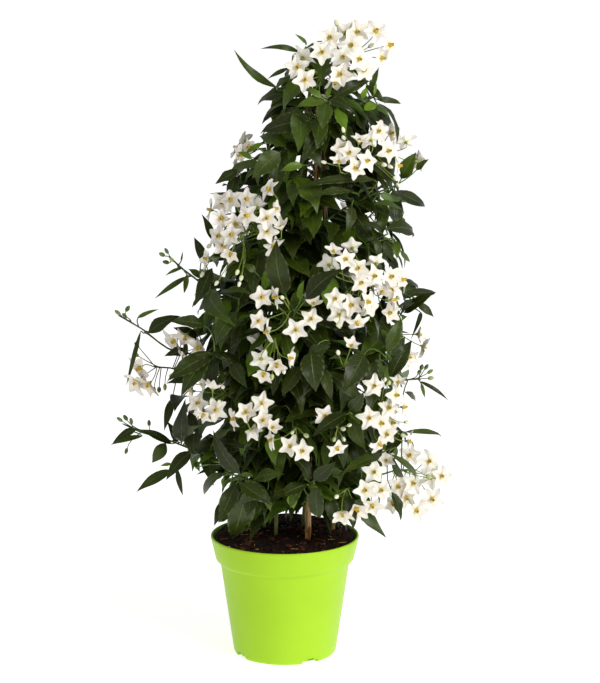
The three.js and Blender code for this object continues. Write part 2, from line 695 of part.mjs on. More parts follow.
const CLUSTERS = [
  { name: 'crown_cluster', hubs: [[318, 78, 24], [338, 62, 24], [358, 54, 22]], more: 5,
    blooms: [[330, 37], [357, 32], [322, 52], [343, 57], [298, 67], [305, 80], [340, 74], [364, 70],
      [381, 58, 'right'], [303, 58, 'back'], [359, 59], [351, 45], [345, 33, 'back']],
    budsSeen: [[355, 75], [336, 22], [372, 45]] },
  { name: 'upper_right_cluster', hubs: [[352, 172, 26], [368, 158, 22], [388, 152, 20]], more: 2,
    blooms: [[349, 153], [355, 168], [339, 163, 'cup'], [378, 131], [391, 134], [388, 151], [367, 161],
      [398, 166, 'right'], [359, 142, 'cup'], [406, 142, 'back'], [371, 140, 'back'], [341, 148]],
    budsSeen: [[343, 137], [343, 129], [323, 162], [326, 167], [385, 165], [391, 167], [396, 179],
      [399, 186]] },
  { name: 'left_upper_cluster', hubs: [[256, 232, 26], [243, 222, 24], [228, 225, 20]], more: 2,
    blooms: [[247, 199], [231, 200], [223, 203], [211, 210, 'left'], [236, 224], [247, 216], [219, 236],
      [232, 235], [267, 218], [267, 232], [281, 229, 'cup'], [270, 190, 'left'], [274, 209, 'right'],
      [224, 246], [231, 253, 'down'], [208, 259, 'left'], [222, 218], [257, 207, 'back']],
    budsSeen: [[208, 247], [218, 252], [202, 275], [237, 273], [241, 279], [239, 285], [216, 284]] },
  { name: 'right_middle_cluster', hubs: [[345, 290, 26], [364, 282, 22], [384, 290, 22]], more: 3,
    blooms: [[345, 259], [358, 268], [361, 283], [374, 276], [391, 277], [329, 265, 'back'], [335, 299],
      [351, 305], [339, 315], [369, 307], [389, 313], [391, 290], [381, 293, 'cup'], [357, 322, 'down'],
      [376, 263, 'back'], [333, 253, 'cup'], [352, 248, 'back'], [392, 300, 'right'],
      [402, 280, 'right']],
    budsSeen: [[338, 325], [398, 298]] },
  { name: 'middle_cluster', hubs: [[283, 312, 20], [293, 310, 18]], more: 1,
    blooms: [[262, 297], [277, 297, 'left'], [259, 321], [268, 332, 'left'], [296, 330], [311, 319],
      [313, 305, 'cup']],
    budsSeen: [[282, 297], [252, 318]] },
  { name: 'middle_low_cluster', hubs: [[275, 338, 14]], more: 1,
    blooms: [[261, 359, 'back'], [277, 364, 'down'], [289, 358, 'right'], [264, 373, 'down']],
    budsSeen: [[272, 378], [284, 372]] },
  { name: 'left_drooping_cluster', hubs: [[192, 374, 16], [170, 368, 6], [154, 367, 2]], more: 0,
    blooms: [[141, 367, 'left'], [137, 381, 'left'], [150, 383, 'down'], [187, 335, 'back'],
      [197, 348, 'right'], [187, 358, 'down'], [176, 340, 'left']],
    budsSeen: [[136, 344], [135, 354], [154, 391], [159, 391], [165, 388]] },
  { name: 'left_low_cluster', hubs: [[222, 392, 22]], more: 1,
    blooms: [[213, 389, 'back'], [198, 403], [204, 414, 'down'], [216, 410], [205, 384, 'left'],
      [193, 391, 'left']],
    budsSeen: [[219, 402], [223, 387]] },
  { name: 'front_low_cluster', hubs: [[252, 398, 16]], more: 0,
    blooms: [[246, 412], [262, 403], [263, 420], [235, 419, 'left'], [251, 430, 'back'],
      [272, 428, 'cup']],
    budsSeen: [[257, 436]] },
  { name: 'front_small_cluster', hubs: [[296, 428, 12]], more: 0,
    blooms: [[290, 446], [302, 451], [273, 440, 'left']], budsSeen: [[292, 433], [307, 436]] },
  { name: 'front_bud_cluster', hubs: [[338, 428, 16]], more: 0,
    blooms: [[325, 416], [337, 447, 'down']],
    budsSeen: [[335, 422], [344, 429], [350, 425], [334, 440], [344, 440], [340, 421]] },
  { name: 'right_single_bloom', hubs: [[344, 366, 14]], more: 0, blooms: [[351, 347, 'cup']],
    budsSeen: [[338, 352]] },
  { name: 'right_low_cluster', hubs: [[382, 402, 20], [380, 426, 22]], more: 2,
    blooms: [[374, 386], [396, 395], [398, 384, 'cup'], [403, 407, 'right'], [369, 418], [381, 423],
      [392, 423], [386, 434], [379, 443, 'down'], [394, 410, 'back'], [388, 408]],
    budsSeen: [[385, 379], [389, 382], [408, 422], [404, 436]] },
  { name: 'right_trailing_cluster', hubs: [[372, 478, 18], [396, 470, 8], [416, 470, 4]], more: 1,
    blooms: [[374, 472], [365, 490], [381, 490], [398, 486], [429, 461], [432, 499], [413, 483],
      [416, 510, 'down'], [431, 478, 'back'], [441, 476, 'right'], [372, 505, 'down'], [386, 461, 'cup'],
      [406, 497, 'down'], [392, 503, 'down']],
    budsSeen: [[354, 478], [430, 477], [438, 479]] },
  { name: 'low_single_bloom', hubs: [[350, 488, 16]], more: 0,
    blooms: [[342, 512, 'back'], [356, 508, 'down']], budsSeen: [[336, 497]] },
];
const BACK_CLUSTERS = [             // name, turn from the front, height, flowers
  ['left_side_cluster', -96, 505, 5], ['right_side_cluster', 98, 330, 5],
  ['back_top_cluster', 176, 520, 5], ['back_left_cluster', -138, 400, 6],
  ['back_right_cluster', 142, 420, 6], ['back_low_cluster', 182, 290, 5],
  ['side_low_cluster', -112, 268, 5],
];

// Leafy shoots: `forks` are twigs, [across, up, depth under the outline] from the root outward;
// `leaves` are [base across, base up, tip across, tip up, width, depth of base, depth of tip];
// `more` is how many further leaves stand round the forks

const SHOOTS = [
  { name: 'crown_left_shoot', forks: [[[312, 112, 34], [300, 96, 26], [284, 89, 18]], [[300, 96, 26],
      [301, 62, 26], [306, 45, 18]]],
    leaves: [[278, 88, 234, 49, 9], [301, 53, 260, 49, 6], [307, 44, 295, 34, 4],
      [289, 68, 267, 79, 5, 20, 14], [276, 90, 290, 76, 8], [306, 97, 266, 94, 14, 14, 0],
      [306, 121, 263, 132, 22, 16, 0]], more: 2 },
  { name: 'crown_middle_shoot', forks: [[[331, 128, 36], [327, 101, 12]]],
    leaves: [[326, 103, 322, 130, 17, 10, -2], [326, 99, 333, 80, 5, 10, 6],
      [322, 98, 306, 88, 7, 10, 4], [330, 99, 354, 112, 11, 10, -2], [334, 97, 371, 80, 13, 14, 8],
      [325, 101, 296, 107, 12, 14, 2]], more: 2 },
  { name: 'crown_right_shoot', forks: [[[346, 118, 34], [362, 102, 22], [376, 96, 14]]],
    leaves: [[376, 99, 402, 104, 7, 12, 4], [371, 108, 393, 129, 8, 12, 2],
      [364, 110, 378, 104, 10, 14, 8], [374, 95, 376, 81, 3, 12, 8], [362, 99, 367, 87, 6, 18, 14],
      [370, 90, 379, 67, 7, 18, 14]], more: 2 },
  { name: 'upper_left_shoot', forks: [[[303, 172, 40], [287, 152, 24], [262, 150, 14]]],
    leaves: [[286, 148, 259, 136, 18], [263, 143, 244, 155, 6], [252, 159, 237, 152, 7],
      [298, 138, 321, 167, 25, 16, 2], [303, 165, 280, 171, 9], [311, 139, 331, 130, 8, 8, 2],
      [280, 152, 252, 178, 21, 12, 2], [262, 164, 226, 176, 12, 10, 4]], more: 2 },
  { name: 'upper_right_shoot', forks: [[[352, 204, 40], [378, 192, 18], [397, 186, 10]]],
    leaves: [[401, 179, 416, 152, 17], [416, 170, 429, 159, 8, 6, 2], [395, 191, 427, 207, 13],
      [380, 194, 412, 203, 8], [374, 204, 406, 214, 12], [376, 180, 289, 190, 10, 8, 4],
      [354, 192, 306, 199, 9, 12, 6], [352, 206, 346, 234, 11, 12, 2]], more: 1 },
  { name: 'right_shoulder_shoot', forks: [[[356, 248, 40], [374, 240, 20], [388, 234, 10]]],
    leaves: [[383, 234, 358, 224, 12, 12, 4], [386, 229, 415, 236, 18, 10, 2],
      [375, 238, 379, 260, 8, 12, 6], [384, 240, 393, 261, 10, 10, 4], [396, 241, 397, 259, 9, 8, 4],
      [400, 250, 410, 262, 5, 6, 2]], more: 1 },
  { name: 'right_middle_shoot', forks: [[[384, 318, 42], [402, 304, 18], [415, 298, 6]]],
    leaves: [[405, 279, 419, 291, 6, 8, 2], [404, 292, 438, 293, 9, 8, 0], [417, 303, 434, 317, 9, 4, 0],
      [413, 304, 400, 315, 9, 6, 0], [421, 312, 411, 339, 5, 4, 0]], more: 1 },
  { name: 'right_low_shoot', forks: [[[366, 362, 40], [388, 358, 14], [404, 380, 8], [420, 379, 2]]],
    leaves: [[390, 378, 412, 340, 18, 8, 0], [387, 352, 401, 316, 15, 12, 4],
      [391, 356, 405, 336, 11, 10, 2], [375, 358, 384, 382, 9, 8, 2], [364, 354, 343, 392, 24, 12, 0],
      [405, 392, 415, 401, 7, 6, 2], [419, 381, 449, 401, 5, 2, 0], [421, 383, 425, 398, 4, 2, 0]],
    budsSeen: [[422, 366], [427, 366], [431, 371], [432, 378], [420, 371]], more: 2 },
  { name: 'middle_shoot', forks: [[[288, 338, 40], [296, 308, 8]]],
    leaves: [[285, 295, 276, 240, 28, 8, -4], [300, 300, 304, 280, 9, 6, 0],
      [306, 299, 342, 269, 22, 10, -2], [290, 304, 266, 310, 15, 10, 4],
      [304, 318, 355, 336, 13, 12, 4]], more: 2 },
  { name: 'middle_low_shoot', forks: [[[300, 372, 40], [312, 354, 14], [322, 366, 10]]],
    leaves: [[311, 351, 316, 392, 24, 12, -2], [322, 367, 332, 401, 12, 8, -2],
      [326, 372, 366, 405, 16, 12, 2], [302, 366, 282, 396, 17, 14, 2], [308, 356, 330, 346, 14, 14, 6]],
      more: 2 },
  { name: 'left_middle_shoot', forks: [[[262, 306, 40], [236, 298, 16], [210, 290, 8]]],
    leaves: [[223, 293, 253, 294, 10, 10, 2], [208, 292, 233, 325, 22, 10, 0],
      [236, 312, 215, 345, 21, 12, 0], [206, 264, 194, 237, 10, 6, 2], [256, 272, 243, 264, 8, 10, 4]],
      more: 2 },
  { name: 'left_top_sprig', forks: [[[226, 296, 20], [202, 284, 6], [185, 271, 2], [168, 256, 0]]],
    leaves: [[183, 268, 165, 276, 4, 2, 0], [188, 276, 154, 299, 6, 2, 0], [187, 274, 184, 294, 6, 2, 0],
      [181, 262, 183, 251, 2, 2, 0], [202, 278, 188, 269, 8, 6, 2]],
    budsSeen: [[161, 254], [166, 250], [165, 262], [171, 259]], more: 0 },
  { name: 'left_long_sprig', forks: [[[206, 352, 30], [186, 354, 8], [168, 350, 4], [142, 329, 2],
      [118, 315, 0]]],
    leaves: [[137, 318, 159, 309, 5, 2, 0], [148, 333, 180, 315, 16, 2, 0],
      [141, 330, 126, 387, 5, 2, 0], [198, 342, 174, 327, 17, 8, 2], [186, 357, 183, 334, 5, 6, 2]],
    budsSeen: [[124, 315], [117, 312], [128, 308]], more: 0 },
  { name: 'left_low_shoot', forks: [[[258, 372, 40], [228, 362, 14], [212, 354, 8]]],
    leaves: [[214, 354, 168, 380, 22, 6, 0], [184, 366, 166, 383, 4, 4, 0],
      [236, 350, 224, 376, 15, 10, 2], [232, 362, 247, 388, 14, 12, 2]], more: 3 },
  { name: 'left_bottom_sprig', forks: [[[240, 462, 30], [198, 452, 8], [168, 440, 3], [140, 432, 1],
      [121, 423, 0]], [[198, 452, 8], [184, 462, 4], [172, 466, 2]]],
    leaves: [[143, 436, 110, 445, 6, 2, 0], [166, 443, 152, 463, 14, 2, 0],
      [182, 442, 185, 400, 19, 4, 0], [178, 442, 167, 421, 9, 4, 0], [186, 441, 201, 425, 9, 4, 0],
      [172, 470, 136, 492, 12, 2, 0], [177, 468, 183, 496, 6, 2, 0], [172, 464, 160, 466, 4, 2, 0],
      [194, 458, 252, 446, 20, 8, 0], [197, 462, 200, 472, 7, 6, 2]],
    budsSeen: [[119, 419], [125, 417], [131, 420], [149, 422], [126, 452]], more: 0 },
  { name: 'low_left_shoot', forks: [[[264, 486, 30], [248, 479, 14], [224, 472, 6]]],
    leaves: [[242, 480, 216, 524, 14, 8, 0], [250, 482, 232, 538, 27, 10, -2],
      [258, 484, 238, 505, 12, 6, -2], [256, 478, 284, 474, 14, 10, 2], [222, 473, 204, 496, 13, 4, 0],
      [240, 474, 213, 430, 18, 8, 2], [262, 488, 271, 512, 8, 12, 6]], more: 1 },
  { name: 'low_middle_shoot', forks: [[[296, 486, 34], [314, 484, 12]]],
    leaves: [[317, 487, 320, 519, 19, 8, 0], [300, 488, 290, 509, 11, 14, 8],
      [310, 482, 285, 452, 20, 14, 2], [314, 480, 336, 462, 15, 10, 2]], more: 2 },
  { name: 'low_right_shoot', forks: [[[332, 478, 34], [360, 462, 16], [388, 450, 8], [402, 440, 4]],
      [[360, 462, 16], [362, 484, 12], [360, 500, 10]]],
    leaves: [[361, 501, 390, 540, 9, 8, 0], [392, 492, 401, 521, 12, 4, -2],
      [404, 432, 444, 437, 6, 2, 0], [404, 462, 408, 450, 6, 6, 2], [390, 454, 416, 481, 7, 6, -2],
      [392, 456, 404, 478, 8, 8, 0], [380, 456, 340, 475, 14, 10, 0]], more: 2 },
  { name: 'right_front_shoot', forks: [[[332, 408, 38], [352, 414, 14]]],
    leaves: [[350, 410, 364, 392, 15, 12, 4], [352, 418, 366, 450, 17, 12, 2],
      [346, 414, 312, 436, 17, 14, 2]], more: 3 },
];
const BACK_SHOOTS = [               // name, turn from the front, height, leaves
  ['left_side_shoot', -84, 452, 7], ['right_side_shoot', 88, 452, 7], ['back_top_shoot', 152, 560, 7],
  ['back_left_high_shoot', -150, 480, 7], ['back_right_high_shoot', 120, 505, 7],
  ['back_middle_shoot', 172, 380, 8], ['back_left_shoot', -122, 330, 7],
  ['back_right_shoot', 118, 300, 8], ['back_low_shoot', -168, 225, 7],
  ['right_side_low_shoot', 100, 215, 7],
];

const FACINGS = {
  cup: (out) => out.clone().multiplyScalar(0.3).add(vec(0, -0.25, 1)),
  down: (out) => out.clone().multiplyScalar(0.8).add(vec(0, -0.3, -0.75)),
  left: (out) => out.clone().multiplyScalar(0.25).add(vec(-1, -0.15, 0.1)),
  right: (out) => out.clone().multiplyScalar(0.25).add(vec(1, -0.2, 0.2)),
  back: (out) => out.clone().multiplyScalar(-0.5).add(vec(0, 0.45, 0.35)),
};

function pointAlong(points, distance) {
  let left = distance;
  for (let i = 1; i < points.length; i += 1) {
    const length = points[i].distanceTo(points[i - 1]);
    if (left <= length || i === points.length - 1) {
      return points[i - 1].clone().lerp(points[i], Math.min(Math.max(left / length, 0), 1));
    }
    left -= length;
  }
  return points[0].clone();
}

function lengthTo(points, corner) {
  let length = 0;
  for (let i = 1; i < points.length && points[i - 1].distanceTo(corner) > TOUCH; i += 1) {
    length += points[i].distanceTo(points[i - 1]);
  }
  return length;
}

// Places evenly along a twig, past its bare foot, where leaves or pedicels root
function placesAlong(points, bare, { spacing, reach }) {
  let length = 0;
  let foot = 0;
  for (let i = 1; i < points.length; i += 1) {
    length += points[i].distanceTo(points[i - 1]);
    if (i === bare) foot = length;
  }
  const count = Math.max(1, Math.round((length - foot) / spacing));
  const places = [];
  for (let k = 0; k < count; k += 1) {
    const at = foot + (length - foot) * (k + 0.5) / count;
    const half = Math.min(reach, (length - foot) / count / 2);
    places.push({ at, half, p: pointAlong(points, at), used: false });
  }
  return places;
}

// The nearest place at least `room` away
function nearestPlace(runs, point, room) {
  let best = null;
  for (const place of runs.flat()) {
    const distance = place.p.distanceTo(point);
    if (distance >= room && (!best || distance < best.distance)) best = { place, distance };
  }
  return best?.place ?? null;
}

// The twigs of a cluster or shoot, rooted on a main stem, with the places that bear its leaves or flowers
function layTwigs(spray, node) {
  const runs = spray.places ?? (spray.forks ?? [spray.hubs])
    .map((run) => run.map(([u, v, inset]) => onOutline(u, v, inset)));
  const twigs = [rootedPath(runs[0], node), ...runs.slice(1)];
  for (const twig of twigs) fill(ballsAlong(twig, TWIG.radius + 0.3, 2.5), node);
  const isShoot = spray.leafy;
  const bearing = twigs.map((twig, i) => {
    const bare = i > 0 ? 0 : (isShoot || runs[0].length === 1 ? 1 : 2);
    const places = placesAlong(twig, bare, isShoot ? ROOTS.leaf : ROOTS.bloom);
    return i > 0 ? places.filter(({ at }) => at > ROOTS.fork) : places;
  });
  return { ...spray, twigs, bearing };
}

// Adds a piece to its spray where it and its stalk clear all other nodes, and marks the room it takes
function settle(piece, spray, node, balls, goal, draw) {
  const stalk = (site) => ballsAlong([site.centre, goal], 1, 2.5);
  if (!isClear(balls, node)) return false;
  const root = spray.grow(goal, draw, null, (site) => isClear(stalk(site), node));
  if (!root) return false;
  piece.foot = root;
  fill([...balls, ...stalk({ centre: root })], node);
  return true;
}

// Flowers of one cluster, each moved along the line of sight until it is clear
function growCluster(cluster, node) {
  const hubs = cluster.twigs[0].slice(2);
  const pieces = { ...cluster, flowers: [], buds: [] };
  const spray = new Spray(cluster);
  const tryBloom = (bloom, place) => {
    bloom.root = place.p;
    const toward = bloom.centre.clone().sub(bloom.root).normalize();
    const enough = bloom.turned ? -0.1 : 0.3;
    for (let i = 0; i < 8 && bloom.face.dot(toward) < enough; i += 1) {
      bloom.face.addScaledVector(toward, 0.25).normalize();
    }
    const goal = bloomStalk(bloom).at(-2);
    const settled = settle(bloom, spray, node, bloomBalls(bloom), goal, (site) => spray.bloom(bloom, site));
    if (settled) pieces.flowers.push(bloom);
    return settled;
  };
  (cluster.blooms ?? []).forEach(([u, v, way], piece) => {
    const draw = stream(node * 1000 + piece);
    const centre = onOutline(u, v, draw.spread(5));
    const out = outward(centre);
    const turned = way === 'back' || way === 'down';
    const face = (way ? FACINGS[way](out) : out.clone().multiplyScalar(0.65).add(vec(0.08, -0.62, 0.2)));
    face.add(vec(draw.spread(0.22), draw.spread(0.15), draw.spread(0.22))).normalize();
    const cup = way === 'cup' ? 6 : draw.spread(1.8) + 0.4;
    const radius = BLOOM.radius * (way === 'cup' ? 0.8 : 0.94 + draw.next() * 0.12);
    const spin = draw.next() * 2 * Math.PI / 5;
    for (const shift of [0, 5, -5, 10, -10, 15, -15, 20, -20, -26, 26, -32, -38, -45]) {
      const moved = sight(u, v, -centre.y + shift);
      const place = nearestPlace(cluster.bearing, moved.clone().addScaledVector(face, -8), 8);
      if (place && tryBloom({ centre: moved, face: face.clone(), spin, radius, cup, turned }, place)) return;
    }
  });
  for (let extra = 0; extra < cluster.more; extra += 1) {
    const piece = 100 + extra;
    const draw = stream(node * 1000 + piece);
    for (let attempt = 0; attempt < 24; attempt += 1) {
      const hub = hubs[Math.floor(draw.next() * hubs.length)];
      const way = outward(hub).multiplyScalar(cluster.hubs ? 0.35 : 1);
      way.add(vec(draw.spread(1.1), draw.spread(1.1), draw.spread(0.9) + 0.1)).normalize();
      const centre = hub.clone().addScaledVector(way, 17 + draw.next() * 16);
      const turned = vec(draw.spread(0.3), draw.spread(0.3), draw.spread(0.3) + 0.1);
      const face = way.clone().add(turned).normalize();
      const bloom = { centre, face, spin: draw.next() * 2, radius: BLOOM.radius, cup: draw.spread(2) };
      const place = nearestPlace(cluster.bearing, centre.clone().addScaledVector(face, -8), 8);
      if (place && tryBloom(bloom, place)) break;
    }
  }
  growBuds(pieces, spray, node);
  return pieces;
}

function growBuds(pieces, spray, node) {
  for (const [u, v] of pieces.budsSeen ?? []) {
    const onSkin = onOutline(u, v, 0);
    for (const shift of [0, 5, -5, 10, -10, 16, -16]) {
      const seen = sight(u, v, -onSkin.y + shift);
      const place = nearestPlace(pieces.bearing, seen, 9);
      if (!place) continue;
      const tip = seen.clone().addScaledVector(seen.clone().sub(place.p).normalize(), 3);
      const bud = { tip, root: place.p };
      if (settle(bud, spray, node, [{ p: seen, r: 2.2 }], tip, (site) => spray.bud(bud, site))) {
        pieces.buds.push(bud);
        break;
      }
    }
  }
}

// Leaves of one shoot: those seen from the front, then the rest round its twigs
function growShoot(shoot, node) {
  const pieces = { ...shoot, blades: [], buds: [] };
  const spray = new Spray(shoot);
  const tryLeaf = (leaf, place) => {
    leaf.root = place.p;
    const goal = leafFrame(leaf).at(0.25, 0);
    const settled = settle(leaf, spray, node, leafBalls(leaf), goal, (site) => spray.leaf(leaf, site));
    if (settled) pieces.blades.push(leaf);
    return settled;
  };
  (shoot.leaves ?? []).forEach(([baseU, baseV, tipU, tipV, width, baseDepth = 10, tipDepth = 2], piece) => {
    const draw = stream(node * 1000 + piece);
    const basePlace = onOutline(baseU, baseV, baseDepth);
    const tipPlace = onOutline(tipU, tipV, tipDepth);
    const tilt = vec(draw.spread(0.35), -0.9, 0.55 + draw.spread(0.3));
    const arch = 0.07 + draw.next() * 0.08;
    for (const [shift, lean] of SETTLING) {
      const base = sight(baseU, baseV, -basePlace.y + shift * 0.7);
      const tip = sight(tipU, tipV, -tipPlace.y + shift);
      const face = tilt.clone().add(vec(lean, 0, lean * 0.6)).normalize();
      const place = nearestPlace(shoot.bearing, base, 2);
      if (place && tryLeaf({ base, tip, face, width, arch }, place)) return;
    }
  });
  for (let extra = 0; extra < shoot.more; extra += 1) {
    const piece = 100 + extra;
    const draw = stream(node * 1000 + piece);
    let grown = false;
    for (let attempt = 0; attempt < 26 && !grown; attempt += 1) {
      const all = shoot.bearing.flat();
      const place = all[Math.floor(draw.next() * all.length)];
      const root = place.p;
      const out = outward(root);
      const turn = draw.spread(1.5);
      const way = out.clone().applyAxisAngle(vec(0, 0, 1), turn).setZ(draw.spread(0.9) - 0.2).normalize();
      const length = (36 + draw.next() * 24) * (attempt > 16 ? 0.7 : 1);
      const base = root.clone().addScaledVector(way, 7);
      const tip = base.clone().addScaledVector(way, length).add(vec(0, 0, -length * 0.22));
      const face = vec(out.x * 0.5 + draw.spread(0.4), out.y * 0.5 + draw.spread(0.4), 0.8).normalize();
      const width = length * (0.38 + draw.next() * 0.12);
      const leaf = { base, tip, face, width, arch: 0.08 + draw.next() * 0.07 };
      const { across: middle, radius } = outlineAt(tip.z);
      if (tip.z > 112 && Math.hypot(tip.x - middle, tip.y) < radius + 16) {
        grown = tryLeaf(leaf, place);
      }
    }
  }
  growBuds(pieces, spray, node);
  return pieces;
}

// Shifts along the line of sight and leans that a leaf tries in turn until it lies clear
const SETTLING = [
  [0, 0], [0, 0.5], [0, -0.5], [5, 0], [-5, 0.3], [5, -0.6], [10, 0], [10, 0.6], [-10, -0.4], [15, -0.3],
  [-15, 0.7], [20, 0.3], [-20, 0], [-25, 0.5], [26, 0], [-30, 0], [-36, -0.4], [-43, 0.2], [-50, -0.2],
  [-57, 0.2],
];

// A place on the plant's round outline, turned from the front
function aroundOutline(turn, z, inset) {
  const { across: middle, radius } = outlineAt(z);
  const reach = Math.max(radius - inset, 4);
  return vec(middle + reach * Math.sin(radians(turn)), -reach * Math.cos(radians(turn)), z);
}

// The plant

const HUES = {
  pot: '#a2d636', soil: '#2b1c14', cane: '#a97c46', stem: '#5d7a2c', leaf: '#33521f', flower: '#f6f3ea',
};
const ROUGHNESS = { pot: 0.38, soil: 0.95, cane: 0.6, stem: 0.55, leaf: 0.4, flower: 0.6 };
const plant = new THREE.Group();

function addPiece(name, solid, hue) {
  const material = new THREE.MeshStandardMaterial({ color: HUES[hue], roughness: ROUGHNESS[hue] });
  material.name = hue;
  const mesh = new THREE.Mesh(fromSolid(solid), material);
  mesh.name = name;
  plant.add(mesh);
}

function spraySolid(pieces) {
  const spray = new Spray(pieces, true);
  const { blades = [], flowers = [], buds } = pieces;
  for (const leaf of blades) spray.grow(leaf.base, (site) => spray.leaf(leaf, site), leaf.foot);
  for (const bloom of flowers) spray.grow(bloom.centre, (site) => spray.bloom(bloom, site), bloom.foot);
  for (const bud of buds) spray.grow(bud.tip, (site) => spray.bud(bud, site), bud.foot);
  return spray.solid();
}

for (const cane of CANES) {
  fill(ballsAlong([caneAt(cane, 100), caneAt(cane, CANE.top)], CANE.foot, 4), cane.name);
}
for (const stem of MAIN_STEMS) fill(ballsAlong(stem.points, STEM.radius, 4), stem.name);
for (let turn = 0; turn < 360; turn += 5) {
  const rim = [vec(POT.rimRadius - 1, 0, POT.rimBottom), vec(POT.rimRadius - 1, 0, POT.rimTop)];
  for (const point of rim) point.applyAxisAngle(vec(0, 0, 1), radians(turn));
  fill(ballsAlong(rim, 3.4, 5), 'pot');
}
for (let x = -66; x <= 66; x += 6) {
  for (let y = -66; y <= 66; y += 6) {
    if (Math.hypot(x, y) < 68) fill([{ p: vec(x, y, soilHeight(x, y) - 2.5), r: 3.6 }], 'soil');
  }
}

const backClusters = BACK_CLUSTERS.map(([name, turn, height, more]) => ({
  name, more, places: [[aroundOutline(turn - 6, height - 6, 24), aroundOutline(turn + 7, height + 9, 18)]],
}));
const backShoots = BACK_SHOOTS.map(([name, turn, height, more]) => ({
  name, more, places: [[aroundOutline(turn - 5, height - 14, 52), aroundOutline(turn + 3, height + 6, 30),
    aroundOutline(turn + 9, height + 24, 14)]],
}));
const clusterTwigs = [...CLUSTERS, ...backClusters].map((cluster, i) => layTwigs(cluster, i + 1));
const shootTwigs = [...SHOOTS, ...backShoots].map((shoot, i) => layTwigs({ ...shoot, leafy: true }, i + 101));
const clusters = clusterTwigs.map((cluster, i) => growCluster(cluster, i + 1));
const shoots = shootTwigs.map((shoot, i) => growShoot(shoot, i + 101));

let soil = soilSolid();
for (const cane of CANES) soil = soil.subtract(caneSolid(cane, GAP * 1.3, CANE.bottom - 1));
for (const stem of MAIN_STEMS) {
  const low = stem.points.slice(0, 3).map((p, i) => (i === 0 ? p.clone().setZ(p.z - 1) : p.clone()));
  soil = soil.subtract(tube([...low], STEM.radius + GAP * 1.6, STEM.sides));
}
addPiece('pot', potSolid(), 'pot');
addPiece('soil', soil, 'soil');
for (const cane of CANES) addPiece(cane.name, caneSolid(cane), 'cane');
for (const stem of MAIN_STEMS) addPiece(stem.name, tube(stem.points, STEM.radius, STEM.sides), 'stem');
for (const cluster of clusters) addPiece(cluster.name, spraySolid(cluster), 'flower');
for (const shoot of shoots) addPiece(shoot.name, spraySolid(shoot), 'leaf');

export default plant;
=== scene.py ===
"""A potato vine in full flower, trained up three bamboo canes in a lime green nursery pot.

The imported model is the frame. Each leafy shoot and each flower cluster of it is one skin of
facets. This script reads the place of every flower, bud and leaf back from that skin, rounds the
twigs, and puts finely shaped petals, anthers, buds and blades where the facets were. Lengths are
in metres, +Z is up and the front faces -Y.
"""

import json
import logging
import math
from collections.abc import Callable, Iterable
from dataclasses import dataclass, field
from enum import Enum
from random import Random
from typing import Any

import bmesh
import bpy
import numpy as np
from bmesh.types import BMEdge, BMesh, BMVert
from bpy.types import Material, Node, NodeSocket, NodeTree, Object
from mathutils import Matrix, Vector, noise
from mathutils.bvhtree import BVHTree

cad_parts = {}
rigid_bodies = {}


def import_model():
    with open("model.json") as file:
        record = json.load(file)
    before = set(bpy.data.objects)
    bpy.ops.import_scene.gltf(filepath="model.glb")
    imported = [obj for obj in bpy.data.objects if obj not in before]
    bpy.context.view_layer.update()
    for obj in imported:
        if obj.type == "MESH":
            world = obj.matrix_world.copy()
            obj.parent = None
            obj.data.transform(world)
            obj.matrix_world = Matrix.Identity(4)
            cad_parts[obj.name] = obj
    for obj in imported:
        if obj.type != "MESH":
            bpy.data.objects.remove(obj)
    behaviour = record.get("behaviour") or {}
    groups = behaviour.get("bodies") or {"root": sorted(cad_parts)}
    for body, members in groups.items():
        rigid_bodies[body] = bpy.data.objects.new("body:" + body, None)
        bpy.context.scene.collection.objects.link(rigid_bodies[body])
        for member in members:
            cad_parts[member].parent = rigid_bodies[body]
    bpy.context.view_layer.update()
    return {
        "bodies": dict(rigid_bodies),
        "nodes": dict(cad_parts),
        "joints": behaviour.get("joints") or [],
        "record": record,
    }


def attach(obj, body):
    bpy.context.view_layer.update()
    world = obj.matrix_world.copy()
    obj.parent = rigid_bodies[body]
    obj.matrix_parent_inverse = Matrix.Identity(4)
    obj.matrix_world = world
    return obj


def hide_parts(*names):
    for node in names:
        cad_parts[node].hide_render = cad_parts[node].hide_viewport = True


# A radius and a height, the least and the most of a measure, or a pixel
Pair = tuple[float, float]
Rows = tuple[Pair, ...]
Triple = tuple[float, float, float]
# The stops of a colour ramp, each a place from 0 to 1 and an sRGB colour
Stops = tuple[tuple[float, str], ...]

LOG = logging.getLogger("potato_vine")
MM = 0.001
BODY = "root"
UP = Vector((0, 0, 1))
# The photograph's size in pixels
PHOTO = (600, 683)

# Sizes that the frame's facets were drawn to, by which each kind of piece is told apart
WELD = 0.002 * MM
SKIN_FIT = 0.02 * MM
SKIN_EYE = 1.7 * MM
SKIN_EYE_LIFT = 0.7 * MM
SKIN_CONE = 4.8 * MM
SKIN_BUD_LENGTH = 7.5 * MM
SKIN_BUD_BELLY = 0.45
SKIN_BUD_RADIUS = 2.1 * MM
SKIN_BLADE = 0.66 * MM
SKIN_SHORT_STATION = 0.42
SKIN_LONG_STATION = 0.72
SKIN_LONG_SHARE = 0.62
SKIN_RING = 1.6 * MM
# How many millimetres a new leaf's foot lies inside the twig
FOOT_SINK = 0.2

# The dense foliage by height: its left and right edges from the front, and half its depth, in
# millimetres
OUTLINE = (
    (112, -55, 60, 45), (136, -68, 86, 62), (166, -70, 114, 92), (196, -100, 118, 108),
    (226, -120, 118, 115), (256, -120, 122, 117), (286, -118, 126, 118), (316, -110, 128, 118),
    (346, -92, 132, 114), (376, -92, 126, 110), (406, -90, 122, 106), (436, -84, 122, 102),
    (466, -72, 122, 98), (496, -46, 120, 84), (526, -24, 110, 70), (556, -20, 92, 60),
    (590, 0, 84, 48), (625, 30, 74, 25),
)


